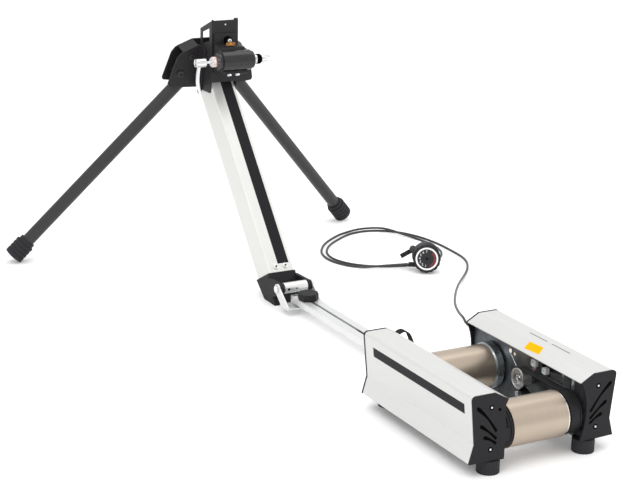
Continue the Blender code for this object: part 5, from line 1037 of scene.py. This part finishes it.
# The dial's middle hole is a black disc of painted shade.
lofted("dial_centre", plain_hole(0.0022, 0.0004), on_remote(0, 0, 0.0110), dial_out, black_and_painted_shade, dial_body,
       steps=24)
print("the shell and the knuckle ride on", remote_body)

# %% [markdown]
# The hub carries a knurled, pinkish zinc collar on the left and a black rubber collar on the
# right, between the barrel and the bright nut.

# %% Hub collars
hub_middle = (Vector(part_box("hub_axle")[0]) + Vector(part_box("hub_axle")[1])) / 2
left_collar = [(0.0092, 0), (0.0100, 0.001, "knurl"), (0.0100, 0.0095, "knurl"), (0.0080, 0.0105)]
right_collar = [(0.0090, 0), (0.0096, 0.0008), (0.0096, 0.0080), (0.0082, 0.0088)]
left_collar_x, right_collar_x = -0.0380, 0.0440
lofted("hub_collar_left", left_collar, hub_middle + Vector((left_collar_x, 0, 0)), leftward, rose_zinc,
       mast_body)
lofted("hub_collar_right", right_collar, hub_middle + Vector((right_collar_x, 0, 0)), rightward, black_and_painted_shade,
       mast_body)
print("hub middle at", [round(v, 4) for v in hub_middle])

# %% [markdown]
# Under the right cover the photograph shows small pale clips, a bolt and a bush on the inner
# plate, above the rotor. They are pointed at by rays from the middle of the unit.

# %% Clips inside the right cover
toward_right = Vector((1, 0, 0))
opening_edge = 0.0100    # the near clip stands this much higher, on the edge of the plate's opening
rod_low, rod_high = from_rear(0.0778, 0.1796, 0.0755), from_rear(0.0778, 0.2001, 0.0948)
rod_way = rod_high - rod_low
lofted("stay_rod", [(0.0009, 0), (0.0009, rod_way.length)], rod_low, rod_way, zinc,
       "base", steps=16)
inside = (
    ("clip_near", 0.1030, 0.0845, [(0.0052, 0, "block"), (0.0052, 0.006, "block"), (0.0044, 0.007, "block"),
                                   (0.0026, 0.007), (0.0022, 0.005)], pale_plastic),
    ("clip_far", 0.1320, 0.0975, [(0.0060, 0, "block"), (0.0060, 0.005, "block"), (0.0050, 0.006, "block"),
                                  (0.0030, 0.006), (0.0026, 0.004)], pale_plastic),
    ("bracket_bolt", 0.1332, 0.0881, socket_head(0.0040, 0.0030), rose_zinc),
    ("bracket_bush", 0.1740, 0.0620, socket_head(0.0052, 0.0040), bright_zinc),
    ("plate_bolt_far", 0.1950, 0.0960, hex_head(0.0042, 0.0026), bright_zinc),
    ("plate_bolt_mid", 0.1840, 0.0940, hex_head(0.0030, 0.0022), bright_zinc),
    ("plate_bolt_low", 0.1728, 0.0330, hex_head(0.0050, 0.0034), bright_zinc),
)
for name, y, z, rings, dress in inside:
    spot, facing = on_surface(("right_side_plate",), from_rear(0.0, y, z), toward_right)
    if name == "clip_near":
        spot.z += opening_edge
    lofted(name, rings, spot - facing * sunk, facing, dress, "base")
print("pieces at the right side plate:", len(inside) + 1)

# %% [markdown]
# The left side plate shows only from other sides, and carries three plain bolts.

# %% Bolts inside the left cover
left_bolts = (("plate_bolt_a", 0.0900, 0.0900), ("plate_bolt_b", 0.1900, 0.0900),
              ("plate_bolt_c", 0.1400, 0.0330))
for name, y, z in left_bolts:
    spot, facing = on_surface(("left_side_plate",), from_rear(0.0, y, z), -toward_right)
    lofted(name, hex_head(0.0042, 0.0028), spot - facing * sunk, facing, bright_zinc, "base")
print("left bolts:", len(left_bolts))

# %% [markdown]
# The floor is one wide pale sheet, a hair below the feet so that the two never flicker, and it
# shines a little, as a table does that is lit from below.

# %% Floor
reach, floor_drop, floor_glow = 14.0, 0.0002, 0.10
floor_mesh = bpy.data.meshes.new("floor")
floor_mesh.from_pydata([(-reach, -reach, 0), (reach, -reach, 0), (reach, reach, 0), (-reach, reach, 0)],
                       [], [(0, 1, 2, 3)])
floor = in_scene("floor", floor_mesh)
floor.location.z = -floor_drop
floor_white = finish("floor_white", (0.92, 0.92, 0.92), 0.75, 0.0, 0.004, 2)
tuned(floor_white.node_tree.nodes["Principled BSDF"], Emission_Color=white, Emission_Strength=floor_glow)
floor_mesh.materials.append(floor_white)
print("floor", 2 * reach, "m wide")

# %% [markdown]
# The light comes from three large soft lamps, as in a studio. A bright world fills the shadows,
# so that black parts still show their edges.


# %% Lights
def soft_lamp(name, place, aim, size, power):
    """A square area lamp that looks at a point."""
    lamp = bpy.data.lights.new(name, "AREA")
    lamp.size = size
    lamp.energy = power
    obj = in_scene(name, lamp)
    obj.location = place
    obj.rotation_euler = (Vector(aim) - Vector(place)).to_track_quat("-Z", "Y").to_euler()


soft_lamp("key", (-1.6, -1.2, 2.6), (0, 0, 0.1), 1.6, 30)
soft_lamp("top", (0.4, 0.4, 3.0), (0, 0.1, 0.1), 2.4, 26)
soft_lamp("side", (2.4, -1.4, 1.4), (0, -0.2, 0.1), 1.2, 9)
world = bpy.data.worlds.new("studio")
world.use_nodes = True
tuned(world.node_tree.nodes["Background"], Color=white, Strength=1.0)
bpy.context.scene.world = world
bpy.context.scene.view_settings.view_transform = "Standard"
print("lamps:", len(bpy.data.lights))

# %% Finish
print("finished")
